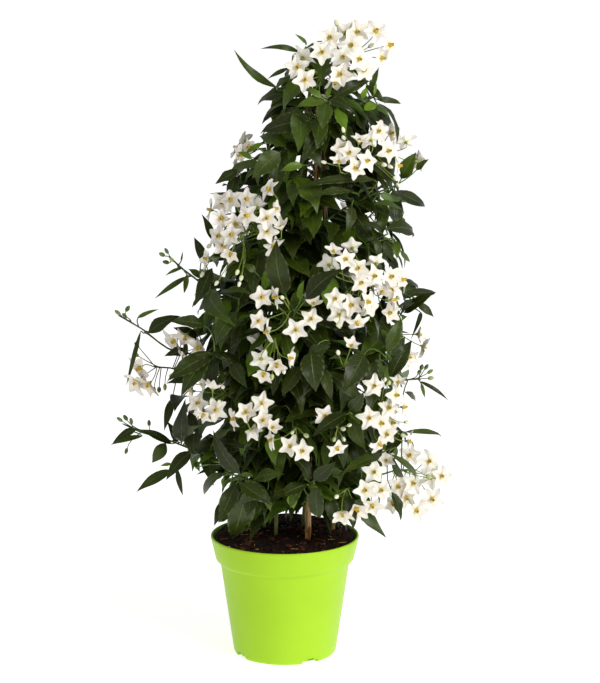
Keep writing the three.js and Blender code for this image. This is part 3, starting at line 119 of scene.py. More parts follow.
class Slot(Enum):
    """The record's material slots."""

    POT = "pot"
    SOIL = "soil"
    CANE = "cane"
    STEM = "stem"
    LEAF = "leaf"
    FLOWER = "flower"


class Kind(Enum):
    """What a node of the frame is."""

    CLUSTER = "cluster"
    SHOOT = "shoot"
    MAIN_STEM = "main_stem"
    CANE = "bamboo_cane"


def linear(colour: str) -> tuple[float, float, float, float]:
    """Turns an sRGB colour to the linear one that shaders take.

    Args:
        colour: the colour as "#rrggbb".

    Returns:
        Red, green, blue and an alpha of 1.
    """
    channels = [int(colour[i : i + 2], 16) / 255 for i in (1, 3, 5)]
    low, slope, offset, power = 0.04045, 12.92, 0.055, 2.4
    red, green, blue = (
        c / slope if c <= low else ((c + offset) / (1 + offset)) ** power for c in channels
    )
    return red, green, blue, 1.0


def add_node(
    tree: NodeTree,
    kind: str,
    inputs: dict[str | int, Any] | Iterable[Any] = (),
    stops: Stops = (),
    **settings: Any,
) -> Node:
    """Adds one shader node with its settings and links.

    Args:
        tree: the material's node tree.
        kind: the node's type name.
        inputs: what goes into each input, by its name or in order: another node's first output,
            an output or a fixed value.
        stops: a colour ramp's stops.
        **settings: the node's own properties.

    Returns:
        The new node.
    """
    node = tree.nodes.new(kind)
    for name, value in settings.items():
        setattr(node, name, value)
    for key, value in inputs.items() if isinstance(inputs, dict) else enumerate(inputs):
        if isinstance(value, Node):
            value = value.outputs[0]
        if isinstance(value, NodeSocket):
            tree.links.new(value, node.inputs[key])
        else:
            node.inputs[key].default_value = value
    while stops and len(node.color_ramp.elements) < len(stops):
        node.color_ramp.elements.new(1.0)
    for i, (place, colour) in enumerate(stops):
        element = node.color_ramp.elements[i]
        element.position, element.color = place, linear(colour)
    return node


@dataclass(frozen=True)
class Finish:
    """A procedural surface: a mottled base colour, its gloss and a fine relief.

    The mottling and the relief are noise on object coordinates, and `grain` and `relief` are the
    real sizes of their features. `depth` is how deep the relief goes.
    """

    name: str
    stops: Stops
    roughness: float = 0.5
    grain: float = 12 * MM
    detail: float = 5.0
    swing: float = 0.0
    stretch: Triple = (1.0, 1.0, 1.0)
    relief: float = 1.5 * MM
    depth: float = 0.1 * MM
    gloss: float = 0.5
    coat: float = 0.0
    coat_roughness: float = 0.25
    glow: float = 0.0
    glow_radius: Triple = (1.0, 0.9, 0.7)
    glow_scale: float = 2 * MM

    def material(self) -> Material:
        """Makes the material, or finds it if it was made before.

        Returns:
            The material.
        """
        made = bpy.data.materials.get(self.name)
        if made:
            return made
        made = bpy.data.materials.new(self.name)
        made.use_nodes = True
        tree = made.node_tree
        shader = tree.nodes["Principled BSDF"]
        for key, value in {
            "Roughness": self.roughness, "Specular IOR Level": self.gloss,
            "Coat Weight": self.coat, "Coat Roughness": self.coat_roughness,
            "Subsurface Weight": self.glow, "Subsurface Radius": self.glow_radius,
            "Subsurface Scale": self.glow_scale,
        }.items():
            shader.inputs[key].default_value = value
        place = add_node(tree, "ShaderNodeTexCoord").outputs["Object"]
        spread = add_node(tree, "ShaderNodeMapping", {"Vector": place, "Scale": self.stretch})
        tree.links.new(self.colour(tree, spread), shader.inputs["Base Color"])
        bump = add_node(
            tree, "ShaderNodeBump",
            {"Height": self.height(tree, spread), "Strength": 1.0, "Distance": self.depth},
        )
        tree.links.new(bump.outputs["Normal"], shader.inputs["Normal"])
        return made

    def colour(self, tree: NodeTree, place: Node) -> NodeSocket:
        """Mottles the base colour.

        Args:
            tree: the material's node tree.
            place: the coordinates to draw on.

        Returns:
            The colour's output.
        """
        mottle = add_node(tree, "ShaderNodeTexNoise", {
            "Vector": place, "Scale": 1 / self.grain, "Detail": self.detail, "Roughness": 0.6,
        })
        return add_node(tree, "ShaderNodeValToRGB", {"Fac": mottle}, self.stops).outputs["Color"]

    def shifted(self, tree: NodeTree, place: Node, value: NodeSocket) -> NodeSocket:
        """Colours the surface along the stops by a value, which the mottling shifts by `swing`.

        Args:
            tree: the material's node tree.
            place: the coordinates to draw on.
            value: the output that gives the value, from 0 to 1.

        Returns:
            The colour's output.
        """
        mottle = add_node(tree, "ShaderNodeTexNoise", {
            "Vector": place, "Scale": 1 / self.grain, "Detail": self.detail,
        })
        centred = add_node(tree, "ShaderNodeMath", (mottle, 0.5), operation="SUBTRACT")
        moved = add_node(
            tree, "ShaderNodeMath", (centred, self.swing, value), operation="MULTIPLY_ADD"
        )
        return add_node(tree, "ShaderNodeValToRGB", {"Fac": moved}, self.stops).outputs["Color"]

    def height(self, tree: NodeTree, place: Node) -> NodeSocket:
        """Draws the fine relief.

        Args:
            tree: the material's node tree.
            place: the coordinates to draw on.

        Returns:
            The height's output, from 0 to 1.
        """
        return add_node(tree, "ShaderNodeTexNoise", {
            "Vector": place, "Scale": 1 / self.relief, "Detail": 3.0,
        }).outputs["Fac"]


@dataclass(frozen=True)
class LeafFinish(Finish):
    """A waxy leaf surface, whose colour follows the leaf's age and whose veins follow its blade.

    `stops` run from an old leaf to a young one, by the "tint" attribute. The midrib and the pairs
    of side veins are lines on the blade's own UV map. The slopes are how sharply a line ends,
    `line_from` is how thin the side veins are, `arching` and `bow` are how they bend forward, and
    `fade_at` is how far out they stop, as a share of the half width.
    """

    detail: float = 4.0
    swing: float = 0.35
    vein: str = "#6f8a45"
    vein_share: float = 0.42
    pairs: float = 7.0
    midrib_slope: float = 16.0
    arching: float = 0.2
    bow: float = 0.8
    line_from: float = 0.86
    line_slope: float = 7.0
    fade_at: float = 0.8
    side_share: float = 0.4
    pucker: float = 0.6

    def veins(self, tree: NodeTree) -> Node:
        """Draws the midrib and the side veins that arch away from it.

        Args:
            tree: the material's node tree.

        Returns:
            The veins' node, 1 on a vein.
        """
        uv = add_node(tree, "ShaderNodeUVMap", uv_map="UVMap")
        split = add_node(tree, "ShaderNodeSeparateXYZ", {"Vector": uv})
        found = {"across": split.outputs["X"], "along": split.outputs["Y"]}
        for name, operation, *terms in (
            ("offset", "SUBTRACT", "across", 0.5),
            ("distance", "ABSOLUTE", "offset"),
            ("aside", "MULTIPLY", "distance", 2.0),
            ("midrib", "MULTIPLY_ADD", "aside", -self.midrib_slope, 1.0),
            ("arch", "POWER", "aside", self.bow),
            ("arched", "MULTIPLY_ADD", "arch", -self.arching, "along"),
            ("turn", "MULTIPLY", "arched", 2 * math.pi * self.pairs),
            ("wave", "SINE", "turn"),
            ("crest", "SUBTRACT", "wave", self.line_from),
            ("ridge", "MULTIPLY", "crest", self.line_slope),
            ("fading", "SUBTRACT", self.fade_at, "aside"),
            ("side", "MULTIPLY", "ridge", "fading"),
            ("fainter", "MULTIPLY", "side", self.side_share),
            ("both", "MAXIMUM", "midrib", "fainter"),
        ):
            terms = [found.get(term, term) for term in terms]
            found[name] = add_node(tree, "ShaderNodeMath", terms, operation=operation)
        return add_node(tree, "ShaderNodeClamp", {"Value": found["both"]})

    def colour(self, tree: NodeTree, place: Node) -> NodeSocket:
        """Colours the blade by its age, with paler veins and faint mottling."""
        age = add_node(tree, "ShaderNodeAttribute", attribute_name="tint").outputs["Fac"]
        share = add_node(
            tree, "ShaderNodeMath", (self.veins(tree), self.vein_share), operation="MULTIPLY"
        )
        return add_node(tree, "ShaderNodeMix", {
            "Factor": share, 6: self.shifted(tree, place, age), 7: linear(self.vein),
        }, data_type="RGBA").outputs[2]

    def height(self, tree: NodeTree, place: Node) -> NodeSocket:
        """Sinks the veins a little into the upper side, in a faintly puckered surface."""
        fine = add_node(tree, "ShaderNodeTexNoise", {
            "Vector": place, "Scale": 1 / self.relief, "Detail": 2.0,
        })
        puckered = add_node(tree, "ShaderNodeMath", (fine, self.pucker), operation="MULTIPLY")
        return add_node(
            tree, "ShaderNodeMath", (puckered, self.veins(tree)), operation="SUBTRACT"
        ).outputs[0]


@dataclass(frozen=True)
class TintedFinish(Finish):
    """A surface whose colour follows the piece's own "tint" attribute, from green to ripe."""

    detail: float = 3.0
    swing: float = 0.2

    def colour(self, tree: NodeTree, place: Node) -> NodeSocket:
        """Colours the surface by its ripeness, a little mottled."""
        ripe = add_node(tree, "ShaderNodeAttribute", attribute_name="tint").outputs["Fac"]
        return self.shifted(tree, place, ripe)


@dataclass(frozen=True)
class PetalFinish(Finish):
    """A soft petal, whose colour runs from the eye to the tip along its own UV map.

    The "tint" attribute blends in a grey-pink tone: a random tone on most flowers, and painted
    shade on the flowers of the shoots and drooping sprigs. `lines` is how many fine veins run
    outwards all round.
    """

    detail: float = 3.0
    swing: float = 0.22
    # A grey-pink tone, mixed in by the tint: a random tone on most flowers, painted shade on those
    # of the shoots and drooping sprigs
    blush_and_shade: str = "#cdb8a6"
    blush_and_shade_share: float = 0.5
    lines: float = 30.0

    def colour(self, tree: NodeTree, place: Node) -> NodeSocket:
        """Colours the petal from its throat outwards."""
        uv = add_node(tree, "ShaderNodeUVMap", uv_map="UVMap")
        outwards = add_node(tree, "ShaderNodeSeparateXYZ", {"Vector": uv}).outputs["X"]
        age = add_node(tree, "ShaderNodeAttribute", attribute_name="tint").outputs["Fac"]
        # Mixes in the grey-pink tone by the tint, which on the shoots and drooping sprigs is
        # painted shade
        share = add_node(tree, "ShaderNodeMath", (age, self.blush_and_shade_share), operation="MULTIPLY")
        return add_node(tree, "ShaderNodeMix", {
            "Factor": share, 6: self.shifted(tree, place, outwards), 7: linear(self.blush_and_shade),
        }, data_type="RGBA").outputs[2]

    def height(self, tree: NodeTree, place: Node) -> NodeSocket:
        """Draws the faint veins that run out along the petal."""
        uv = add_node(tree, "ShaderNodeUVMap", uv_map="UVMap")
        around = add_node(tree, "ShaderNodeSeparateXYZ", {"Vector": uv}).outputs["Y"]
        turn = add_node(
            tree, "ShaderNodeMath", (around, 2 * math.pi * self.lines), operation="MULTIPLY"
        )
        return add_node(tree, "ShaderNodeMath", (turn,), operation="SINE").outputs[0]


# Injection moulded polypropylene: an even, satin lime green with a faint orange peel
POT_PLASTIC = Finish(
    "moulded_polypropylene", ((0.3, "#a0cb20"), (0.7, "#a8d329")), roughness=0.4, grain=90 * MM,
    relief=1.2 * MM, depth=0.02 * MM, gloss=0.2,
)
# Damp peat: nearly black, reddish crumbs that swallow the light
PEAT = Finish(
    "damp_peat", ((0.3, "#0b0604"), (0.5, "#21120b"), (0.72, "#472a1a")), roughness=0.92,
    grain=3 * MM, relief=0.8 * MM, depth=0.6 * MM, gloss=0.2,
)
# Chipped pine bark: matt red-brown flakes, darker in their cracks
BARK = Finish(
    "pine_bark", ((0.3, "#2a140b"), (0.55, "#5a301b"), (0.75, "#8c5a3a")), roughness=0.85,
    grain=5 * MM, relief=0.9 * MM, depth=0.3 * MM, gloss=0.25,
)
# Dry straw: pale golden splinters with a dull shine, which stand out from the peat
STRAW = Finish(
    "dry_straw", ((0.3, "#7d5a2c"), (0.5, "#b08a4e"), (0.75, "#d6b878")), roughness=0.6,
    grain=8 * MM, relief=0.6 * MM, depth=0.05 * MM,
)
# Expanded perlite: chalky grey-white grains with a rough, porous skin
PERLITE = Finish(
    "expanded_perlite", ((0.3, "#a39c8c"), (0.7, "#d8d3c6")), roughness=0.9, grain=1.5 * MM,
    relief=0.5 * MM, depth=0.2 * MM,
)
# Bamboo: golden brown culm with dark streaks along it and a hard, slightly glossy skin
BAMBOO = Finish(
    "split_bamboo",
    ((0.38, "#2e1a0a"), (0.45, "#80501f"), (0.52, "#b9843f"), (0.59, "#dab573"), (0.66, "#7d5226")),
    roughness=0.42, grain=3.4 * MM, stretch=(1.0, 1.0, 0.09), relief=0.7 * MM, depth=0.12 * MM,
    coat=0.1,
)
# The main stems: green rind with brown corky streaks
GREEN_BARK = Finish(
    "vine_bark", ((0.35, "#38360f"), (0.5, "#58651c"), (0.65, "#857f36")), roughness=0.55,
    grain=6 * MM, stretch=(1.0, 1.0, 0.3), relief=0.8 * MM,
)
# Young green stalks of the flower clusters, smooth and a little waxy
GREEN_STALK = Finish(
    "green_stalk", ((0.3, "#34481a"), (0.55, "#526c28"), (0.78, "#7a8f3c")), roughness=0.45,
    grain=14 * MM, relief=1 * MM, depth=0.05 * MM, gloss=0.3,
)
# The flowers' own thin stalks, paler and yellower towards the flower
PEDICEL = Finish(
    "pale_pedicel", ((0.3, "#62742c"), (0.55, "#8a9a46"), (0.78, "#a9b266")), grain=9 * MM,
    relief=1 * MM, depth=0.04 * MM, gloss=0.3,
)
# Twigs of the leafy shoots, darker, ripening to brown
DARK_TWIG = Finish(
    "ripening_twig", ((0.3, "#231c10"), (0.5, "#36421a"), (0.75, "#55702a")), grain=18 * MM,
    relief=1 * MM, depth=0.08 * MM,
)
# The leaf's upper side: dark green wax cuticle, glossy, which mirrors the sky as a grey sheen
LEAF_UPPER = LeafFinish(
    "leaf_upper",
    ((0.0, "#1a2005"), (0.35, "#2b350a"), (0.62, "#445813"), (0.85, "#64841b"), (1.0, "#8eae2e")),
    roughness=0.34, grain=16 * MM, relief=2.5 * MM, depth=0.25 * MM, gloss=0.22,
)
# The leaf's underside: paler and matt, with raised veins
LEAF_UNDER = LeafFinish(
    "leaf_under", ((0.0, "#34451c"), (0.5, "#4e6828"), (1.0, "#8aa848")), roughness=0.55,
    grain=14 * MM, relief=2 * MM, depth=0.2 * MM, gloss=0.35, vein="#93a866",
)
# Petals: soft warm white, matt, greenish in the throat; light passes a little way into them
PETAL = PetalFinish(
    "white_petal",
    ((0.1, "#c9c878"), (0.24, "#e6e1b8"), (0.42, "#efe9d8"), (0.8, "#f1ede3"), (1.0, "#ece6d6")),
    roughness=0.6, grain=5 * MM, relief=1 * MM, depth=0.05 * MM, gloss=0.3, glow=0.15,
)
# Ripe anthers: matt golden yellow, dusty with pollen, which gives each flower its bright middle
ANTHER = Finish(
    "ripe_anther", ((0.3, "#a8861e"), (0.55, "#c9ab3c"), (0.8, "#dcc768")), roughness=0.6,
    grain=1.6 * MM, relief=0.4 * MM, depth=0.08 * MM, gloss=0.3,
)
# The anthers' open mouth: olive brown shade at the tip of the cone
ANTHER_MOUTH = Finish(
    "anther_mouth", ((0.3, "#6b5a1c"), (0.7, "#8f8430")), roughness=0.7, grain=1.2 * MM,
    relief=0.4 * MM, depth=0.05 * MM,
)
# The calyx behind each flower and bud: fresh yellowish green, smooth and half matt
CALYX = Finish(
    "green_calyx", ((0.3, "#5d7d27"), (0.7, "#8fa648")), grain=3 * MM, relief=0.6 * MM,
    depth=0.06 * MM,
)
# Buds: green while they are small, then cream
BUD_SKIN = TintedFinish(
    "bud_skin", ((0.1, "#42571f"), (0.4, "#9dad5c"), (0.6, "#dde0b4"), (1.0, "#ece9d6")),
    grain=4 * MM, relief=0.6 * MM, depth=0.05 * MM, glow=0.1,
)


# Work on objects and meshes


def select_only(*objects: Object) -> None:
    """Selects these objects alone, and makes the first one active."""
    bpy.ops.object.select_all(action="DESELECT")
    for item in objects:
        item.select_set(True)
    bpy.context.view_layer.objects.active = objects[0]


def edit(item: Object, whole: bool = False) -> BMesh:
    """Enters edit mode on one object.

    Args:
        item: the object.
        whole: whether all of it is selected, rather than nothing.

    Returns:
        Its edit mesh.
    """
    select_only(item)
    bpy.ops.object.mode_set(mode="EDIT")
    bpy.ops.mesh.select_mode(type="VERT")
    bpy.ops.mesh.select_all(action="SELECT" if whole else "DESELECT")
    return bmesh.from_edit_mesh(item.data)


def leave_edit() -> None:
    """Goes back to object mode."""
    bpy.ops.object.mode_set(mode="OBJECT")


def pick(mesh: BMesh, elements: Iterable[Any], wanted: Callable[[Any], bool]) -> None:
    """Selects the vertices, edges or faces that a test accepts, in edit mode.

    Args:
        mesh: the edit mesh.
        elements: its vertices, edges or faces.
        wanted: the test.
    """
    bpy.ops.mesh.select_all(action="DESELECT")
    for element in elements:
        if wanted(element):
            element.select_set(True)
    mesh.select_flush(True)


def added(name: str) -> Object:
    """Names the object that an operator has just added.

    Args:
        name: the new name.

    Returns:
        The object.
    """
    item = bpy.context.object
    item.name = name
    item.data.name = name
    return item


def modified(item: Object, kind: str, **settings: Any) -> None:
    """Adds one modifier to an object and applies it.

    Args:
        item: the object.
        kind: the modifier's type name.
        **settings: its properties.
    """
    select_only(item)
    modifier = item.modifiers.new(kind.lower(), kind)
    for key, value in settings.items():
        setattr(modifier, key, value)
    bpy.ops.object.modifier_apply(modifier=modifier.name)


def joined(items: list[Object], name: str) -> Object:
    """Joins objects into one.

    Args:
        items: the objects, at least one.
        name: the piece's name.

    Returns:
        The joined object.
    """
    select_only(*items)
    if len(items) > 1:
        bpy.ops.object.join()
    return added(name)


def placed(item: Object) -> None:
    """Puts the object's place into its mesh, so that it sits at the origin."""
    item.data.transform(item.matrix_basis)
    item.matrix_basis = Matrix.Identity(4)


def started(name: str, primitive: Callable[..., Any], **settings: Any) -> Object:
    """Starts a piece from a primitive, with nothing else selected.

    Args:
        name: the object's name.
        primitive: the operator that adds it.
        **settings: its size, place and number of faces.

    Returns:
        The object, at the origin with its place in its mesh.
    """
    bpy.ops.object.select_all(action="DESELECT")
    primitive(**settings)
    item = added(name)
    placed(item)
    return item


def painted(item: Object, *finishes: Finish) -> None:
    """Gives a piece these materials after those that it has."""
    for finish in finishes:
        item.data.materials.append(finish.material())


def dressed(item: Object, slot: Slot, *nodes: str, angle: float = 50.0) -> Object:
    """Finishes a piece: smooth shading, the body that it rides on and what it replaces.

    Args:
        item: the piece.
        slot: the record's material slot; not used.
        *nodes: the nodes of the frame that it stands for.
        angle: edges sharper than this many degrees stay sharp.

    Returns:
        The piece.
    """
    select_only(item)
    bpy.ops.object.shade_smooth_by_angle(angle=math.radians(angle))
    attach(item, BODY)
    if nodes:
        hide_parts(*nodes)
    LOG.info("%s: %d faces", item.name, len(item.data.polygons))
    return item


def square_to(axis: Vector, hint: Vector) -> tuple[Vector, Vector]:
    """Two directions square to an axis.

    Args:
        axis: the axis, of length 1.
        hint: the first direction leans towards this.

    Returns:
        The two directions, of length 1.
    """
    first = hint - axis * hint.dot(axis)
    if first.length < 0.05:
        first = Vector((1, 0.2, 0)) - axis * axis.x
    first.normalize()
    return first, axis.cross(first).normalized()


def along_axes(origin: Vector, *parts: tuple[np.ndarray, Iterable[float]]) -> np.ndarray:
    """Finds points by how far they lie along some axes.

    Args:
        origin: where the distances are counted from.
        *parts: the points' distances along one axis, and that axis.

    Returns:
        The points, one row each.
    """
    return sum((np.outer(distances, axis) for distances, axis in parts), start=np.array(origin))


@dataclass
class Pattern:
    """A small shape that is modelled once and copied, each copy with its own mesh.

    Its vertices hold a place on the shape, which a copy turns into a place on the plant.
    """

    item: Object
    places: np.ndarray = field(init=False)

    def __post_init__(self) -> None:
        """Reads the pattern's places and hides it from the scene."""
        self.places = np.zeros((len(self.item.data.vertices), 3))
        self.item.data.vertices.foreach_get("co", self.places.ravel())
        for collection in list(self.item.users_collection):
            collection.objects.unlink(self.item)

    def copy(self, points: np.ndarray, tint: float) -> Object:
        """Makes one copy.

        Args:
            points: where its vertices go, one row each.
            tint: its age or shade, from 0 to 1.

        Returns:
            The copy.
        """
        mesh = self.item.data.copy()
        mesh.vertices.foreach_set("co", points.astype(np.float32).ravel())
        shade = mesh.attributes.new("tint", "FLOAT", "POINT")
        shade.data.foreach_set("value", np.full(len(points), tint, np.float32))
        made = bpy.data.objects.new(self.item.name, mesh)
        bpy.context.scene.collection.objects.link(made)
        return made

    def remove(self) -> None:
        """Removes the pattern itself, once all its copies are made."""
        bpy.data.meshes.remove(self.item.data)


def close_thin_shell(item: Object, under: int) -> None:
    """Gives a flat sheet an underside that meets it along its edge.

    Args:
        item: the sheet, whose underside then lies one unit below it inside the edge.
        under: the underside's material slot.
    """
    edit(item, whole=True)
    bpy.ops.mesh.duplicate()
    bpy.ops.mesh.flip_normals()
    mesh = bmesh.from_edit_mesh(item.data)
    for face in mesh.faces:
        if face.select:
            face.material_index = under
    for vertex in mesh.verts:
        if vertex.select and not vertex.is_boundary:
            vertex.co.z -= 1
    bpy.ops.mesh.select_all(action="SELECT")
    bpy.ops.mesh.remove_doubles(threshold=1e-5)
    leave_edit()


def facing_out(item: Object) -> Object:
    """Turns a closed solid's faces outwards and leaves edit mode."""
    bpy.ops.mesh.select_all(action="SELECT")
    bpy.ops.mesh.normals_make_consistent(inside=False)
    leave_edit()
    return item


def thin_stalk(name: str, finish: Finish) -> Pattern:
    """Models a stalk as a tube of radius 1 and length 1 in a few steps.

    Args:
        name: its name.
        finish: its material.

    Returns:
        The stalk to copy.
    """
    sides, steps = 5, 4
    item = started(
        name, bpy.ops.mesh.primitive_circle_add, vertices=sides, radius=1, fill_type="NGON"
    )
    edit(item, whole=True)
    for _ in range(steps):
        bpy.ops.mesh.extrude_region_move(TRANSFORM_OT_translate={"value": (0, 0, 1 / steps)})
    painted(facing_out(item), finish)
    return Pattern(item)


# Leaves


@dataclass
class Blade:
    """One leaf: its foot on the twig, the blade's base and tip, its upper side, width and arch.

    `tint` is its age, from 0, old, to 1, young, and `loose` is how much it curls and twists.
    """

    foot: Vector
    base: Vector
    tip: Vector
    face: Vector
    width: float
    arch: float
    tint: float = 0.3
    loose: float = 0.4

    def axes(self) -> tuple[float, Vector, Vector, Vector]:
        """Works out how the blade lies.

        Returns:
            Its length, and the ways along it, across it and out of its upper side.
        """
        axis = self.tip - self.base
        length = axis.length
        axis.normalize()
        side = axis.cross(self.face).normalized()
        return length, axis, side, side.cross(axis)


@dataclass
class LeafMaker:
    """Shapes leaves: ovate and pointed blades, folded along the midrib, with gently waved edges.

    Pairs of numbers are the least and the most of what is drawn for each leaf. Heights of waves and
    folds are shares of the half width, and the curl, the sway and the petiole's bend are shares of
    the length.
    """

    columns: int = 4
    rows: int = 9
    widest: float = 0.36
    roundness: Pair = (0.75, 1.15)
    thickness: float = 0.4 * MM
    waves: Pair = (1.2, 2.4)
    wave_slant: float = 1.3
    wave_height: Pair = (0.08, 0.24)
    fold: float = 0.3
    folding: Pair = (0.6, 1.3)
    curl: Pair = (0.0, 1.2)
    curl_from: float = 0.7
    curl_rate: float = 1.6
    sway: float = 0.2
    twist: float = 0.9
    twist_from: float = 0.3
    petiole: float = 0.75 * MM
    petiole_taper: float = 0.7
    petiole_grip: Pair = (2 * MM, 0.3 * MM)
    petiole_bend: Pair = (0.45, 0.12)
    blade: Pattern = field(init=False)
    stalk: Pattern = field(init=False)

    def __post_init__(self) -> None:
        """Models the blade and the petiole that all leaves are copied from."""
        self.blade = Pattern(self.flat_blade())
        self.stalk = thin_stalk("petiole", GREEN_STALK)

    def flat_blade(self) -> Object:
        """Models the blade as a sheet from -1 to 1 across and 0 to 1 along, pointed at both ends.

        Returns:
            The sheet with its underside.
        """
        item = started(
            "leaf_blade", bpy.ops.mesh.primitive_grid_add, x_subdivisions=self.columns,
            y_subdivisions=self.rows, size=2, location=(0, 1, 0),
        )
        for end in (0, 2):
            mesh = edit(item)
            pick(mesh, mesh.verts, lambda v, end=end: abs(v.co.y - end) < 0.01)
            bpy.ops.mesh.merge(type="CENTER")
            leave_edit()
        item.data.transform(Matrix.Diagonal((1, 0.5, 1, 1)))
        painted(item, LEAF_UPPER, LEAF_UNDER)
        close_thin_shell(item, 1)
        return item

    def outline(self, along: np.ndarray) -> np.ndarray:
        """The blade's half width along it, as a share of its greatest: round, then drawn out."""
        blunt, drawn_out = self.roundness
        lower = np.sin(np.pi / 2 * np.clip(along / self.widest, 0, 1)) ** blunt
        rest = np.clip((along - self.widest) / (1 - self.widest), 0, 1)
        return np.where(along < self.widest, lower, np.cos(np.pi / 2 * rest) ** drawn_out)

    def made(self, leaf: Blade, draw: Random) -> list[Object]:
        """Shapes one leaf.

        Args:
            leaf: the leaf's place and size.
            draw: the random stream of its waves and curl.

        Returns:
            The blade and its petiole.
        """
        length, axis, side, face = leaf.axes()
        face.normalize()
        across, along, under = self.blade.places.T
        half = leaf.width / 2 * self.outline(along)
        waves, phase = draw.uniform(*self.waves), draw.uniform(0, 2 * np.pi)
        rise = draw.uniform(*self.wave_height)
        crest = np.sin(2 * np.pi * waves * along + phase + across * self.wave_slant)
        ripple = crest * across**2 * rise
        fold = draw.uniform(*self.folding) * self.fold
        trough = fold * np.abs(across) - 0.5 * fold * across**2
        curl = draw.uniform(*self.curl) * leaf.loose
        sway = draw.uniform(-self.sway, self.sway) * length * leaf.loose
        twist = draw.uniform(-self.twist, self.twist) * (along - self.twist_from) * leaf.loose
        lift = (
            leaf.arch * length * 4 * along * (1 - along)
            + half * (trough + ripple)
            - curl * length * np.clip(along - self.curl_from, 0, 1) ** 2 * self.curl_rate
            + under * self.thickness
        )
        aside = half * across * np.cos(fold) + sway * along * (1 - along)
        points = along_axes(
            leaf.base, (along * length, axis),
            (aside * np.cos(twist) - lift * np.sin(twist) * 0.3, side),
            (lift + aside * np.sin(twist), face),
        )
        return [self.blade.copy(points, leaf.tint), self.petiole_of(leaf, axis, face)]

    def petiole_of(self, leaf: Blade, axis: Vector, face: Vector) -> Object:
        """Lays the petiole from its foot on the twig into the base of the blade.

        Args:
            leaf: the leaf.
            axis: the blade's direction.
            face: the blade's upper side.

        Returns:
            The petiole.
        """
        (ahead, below), (back, down) = self.petiole_grip, self.petiole_bend
        end = leaf.base + axis * ahead - face * below
        reach = (end - leaf.foot).length
        bend = end - axis * reach * back - face * down * reach
        radii = (self.petiole, self.petiole * self.petiole_taper)
        return self.stalk.copy(
            laid_along(self.stalk.places, leaf.foot, bend, end, *radii), leaf.tint
        )

    def remove(self) -> None:
        """Removes the patterns."""
        self.blade.remove()
        self.stalk.remove()


def laid_along(
    places: np.ndarray, start: Vector, bend: Vector, end: Vector, first: float, last: float
) -> np.ndarray:
    """Lays a straight tube along one arc.

    Args:
        places: the tube's vertices, of radius 1 about Z and from 0 to 1 along it.
        start: where it begins.
        bend: the point that the arc bends towards.
        end: where it ends.
        first: the radius at the start.
        last: the radius at the end.

    Returns:
        The vertices' places.
    """
    t = places[:, 2][:, None]
    start_row, bend_row, end_row = (np.array(p)[None, :] for p in (start, bend, end))
    centre = (1 - t) ** 2 * start_row + 2 * t * (1 - t) * bend_row + t**2 * end_row
    way = 2 * (1 - t) * (bend_row - start_row) + 2 * t * (end_row - bend_row)
    way /= np.maximum(np.linalg.norm(way, axis=1, keepdims=True), 1e-9)
    hint, _ = square_to((end - start).normalized(), UP)
    side = np.cross(way, np.array(hint))
    side /= np.maximum(np.linalg.norm(side, axis=1, keepdims=True), 1e-9)
    other = np.cross(way, side)
    radius = first + (last - first) * t
    return centre + radius * (places[:, :1] * side + places[:, 1:2] * other)


# Flowers


@dataclass
class Bloom:
    """One flower: its middle, the way it faces, its petals' tips and its stalk's foot."""

    centre: Vector
    face: Vector
    tips: list[Vector]
    foot: Vector
    # On a shoot or drooping sprig: a dark stalk, and painted shade on the petals
    dark: bool = False

    def nod(self, towards: Vector, closing: float, size: float) -> None:
        """Turns the flower on its stalk, half closes it into a bell and opens its petals out.

        Args:
            towards: the way that it now faces.
            closing: how far its petals' tips come forward, as a share of their length.
            size: how much longer the petals get.
        """
        turn = self.face.rotation_difference(towards)
        for i, tip in enumerate(self.tips):
            petal = (turn @ (tip - self.centre)) * size
            forward = towards * closing * petal.length
            self.tips[i] = self.centre + petal * (1 - closing * 0.2) + forward
        self.face = towards


@dataclass
class Bud:
    """One flower bud, from its neck to its tip, and its stalk's foot."""

    neck: Vector
    tip: Vector
    foot: Vector
    ripe: float = 0.7


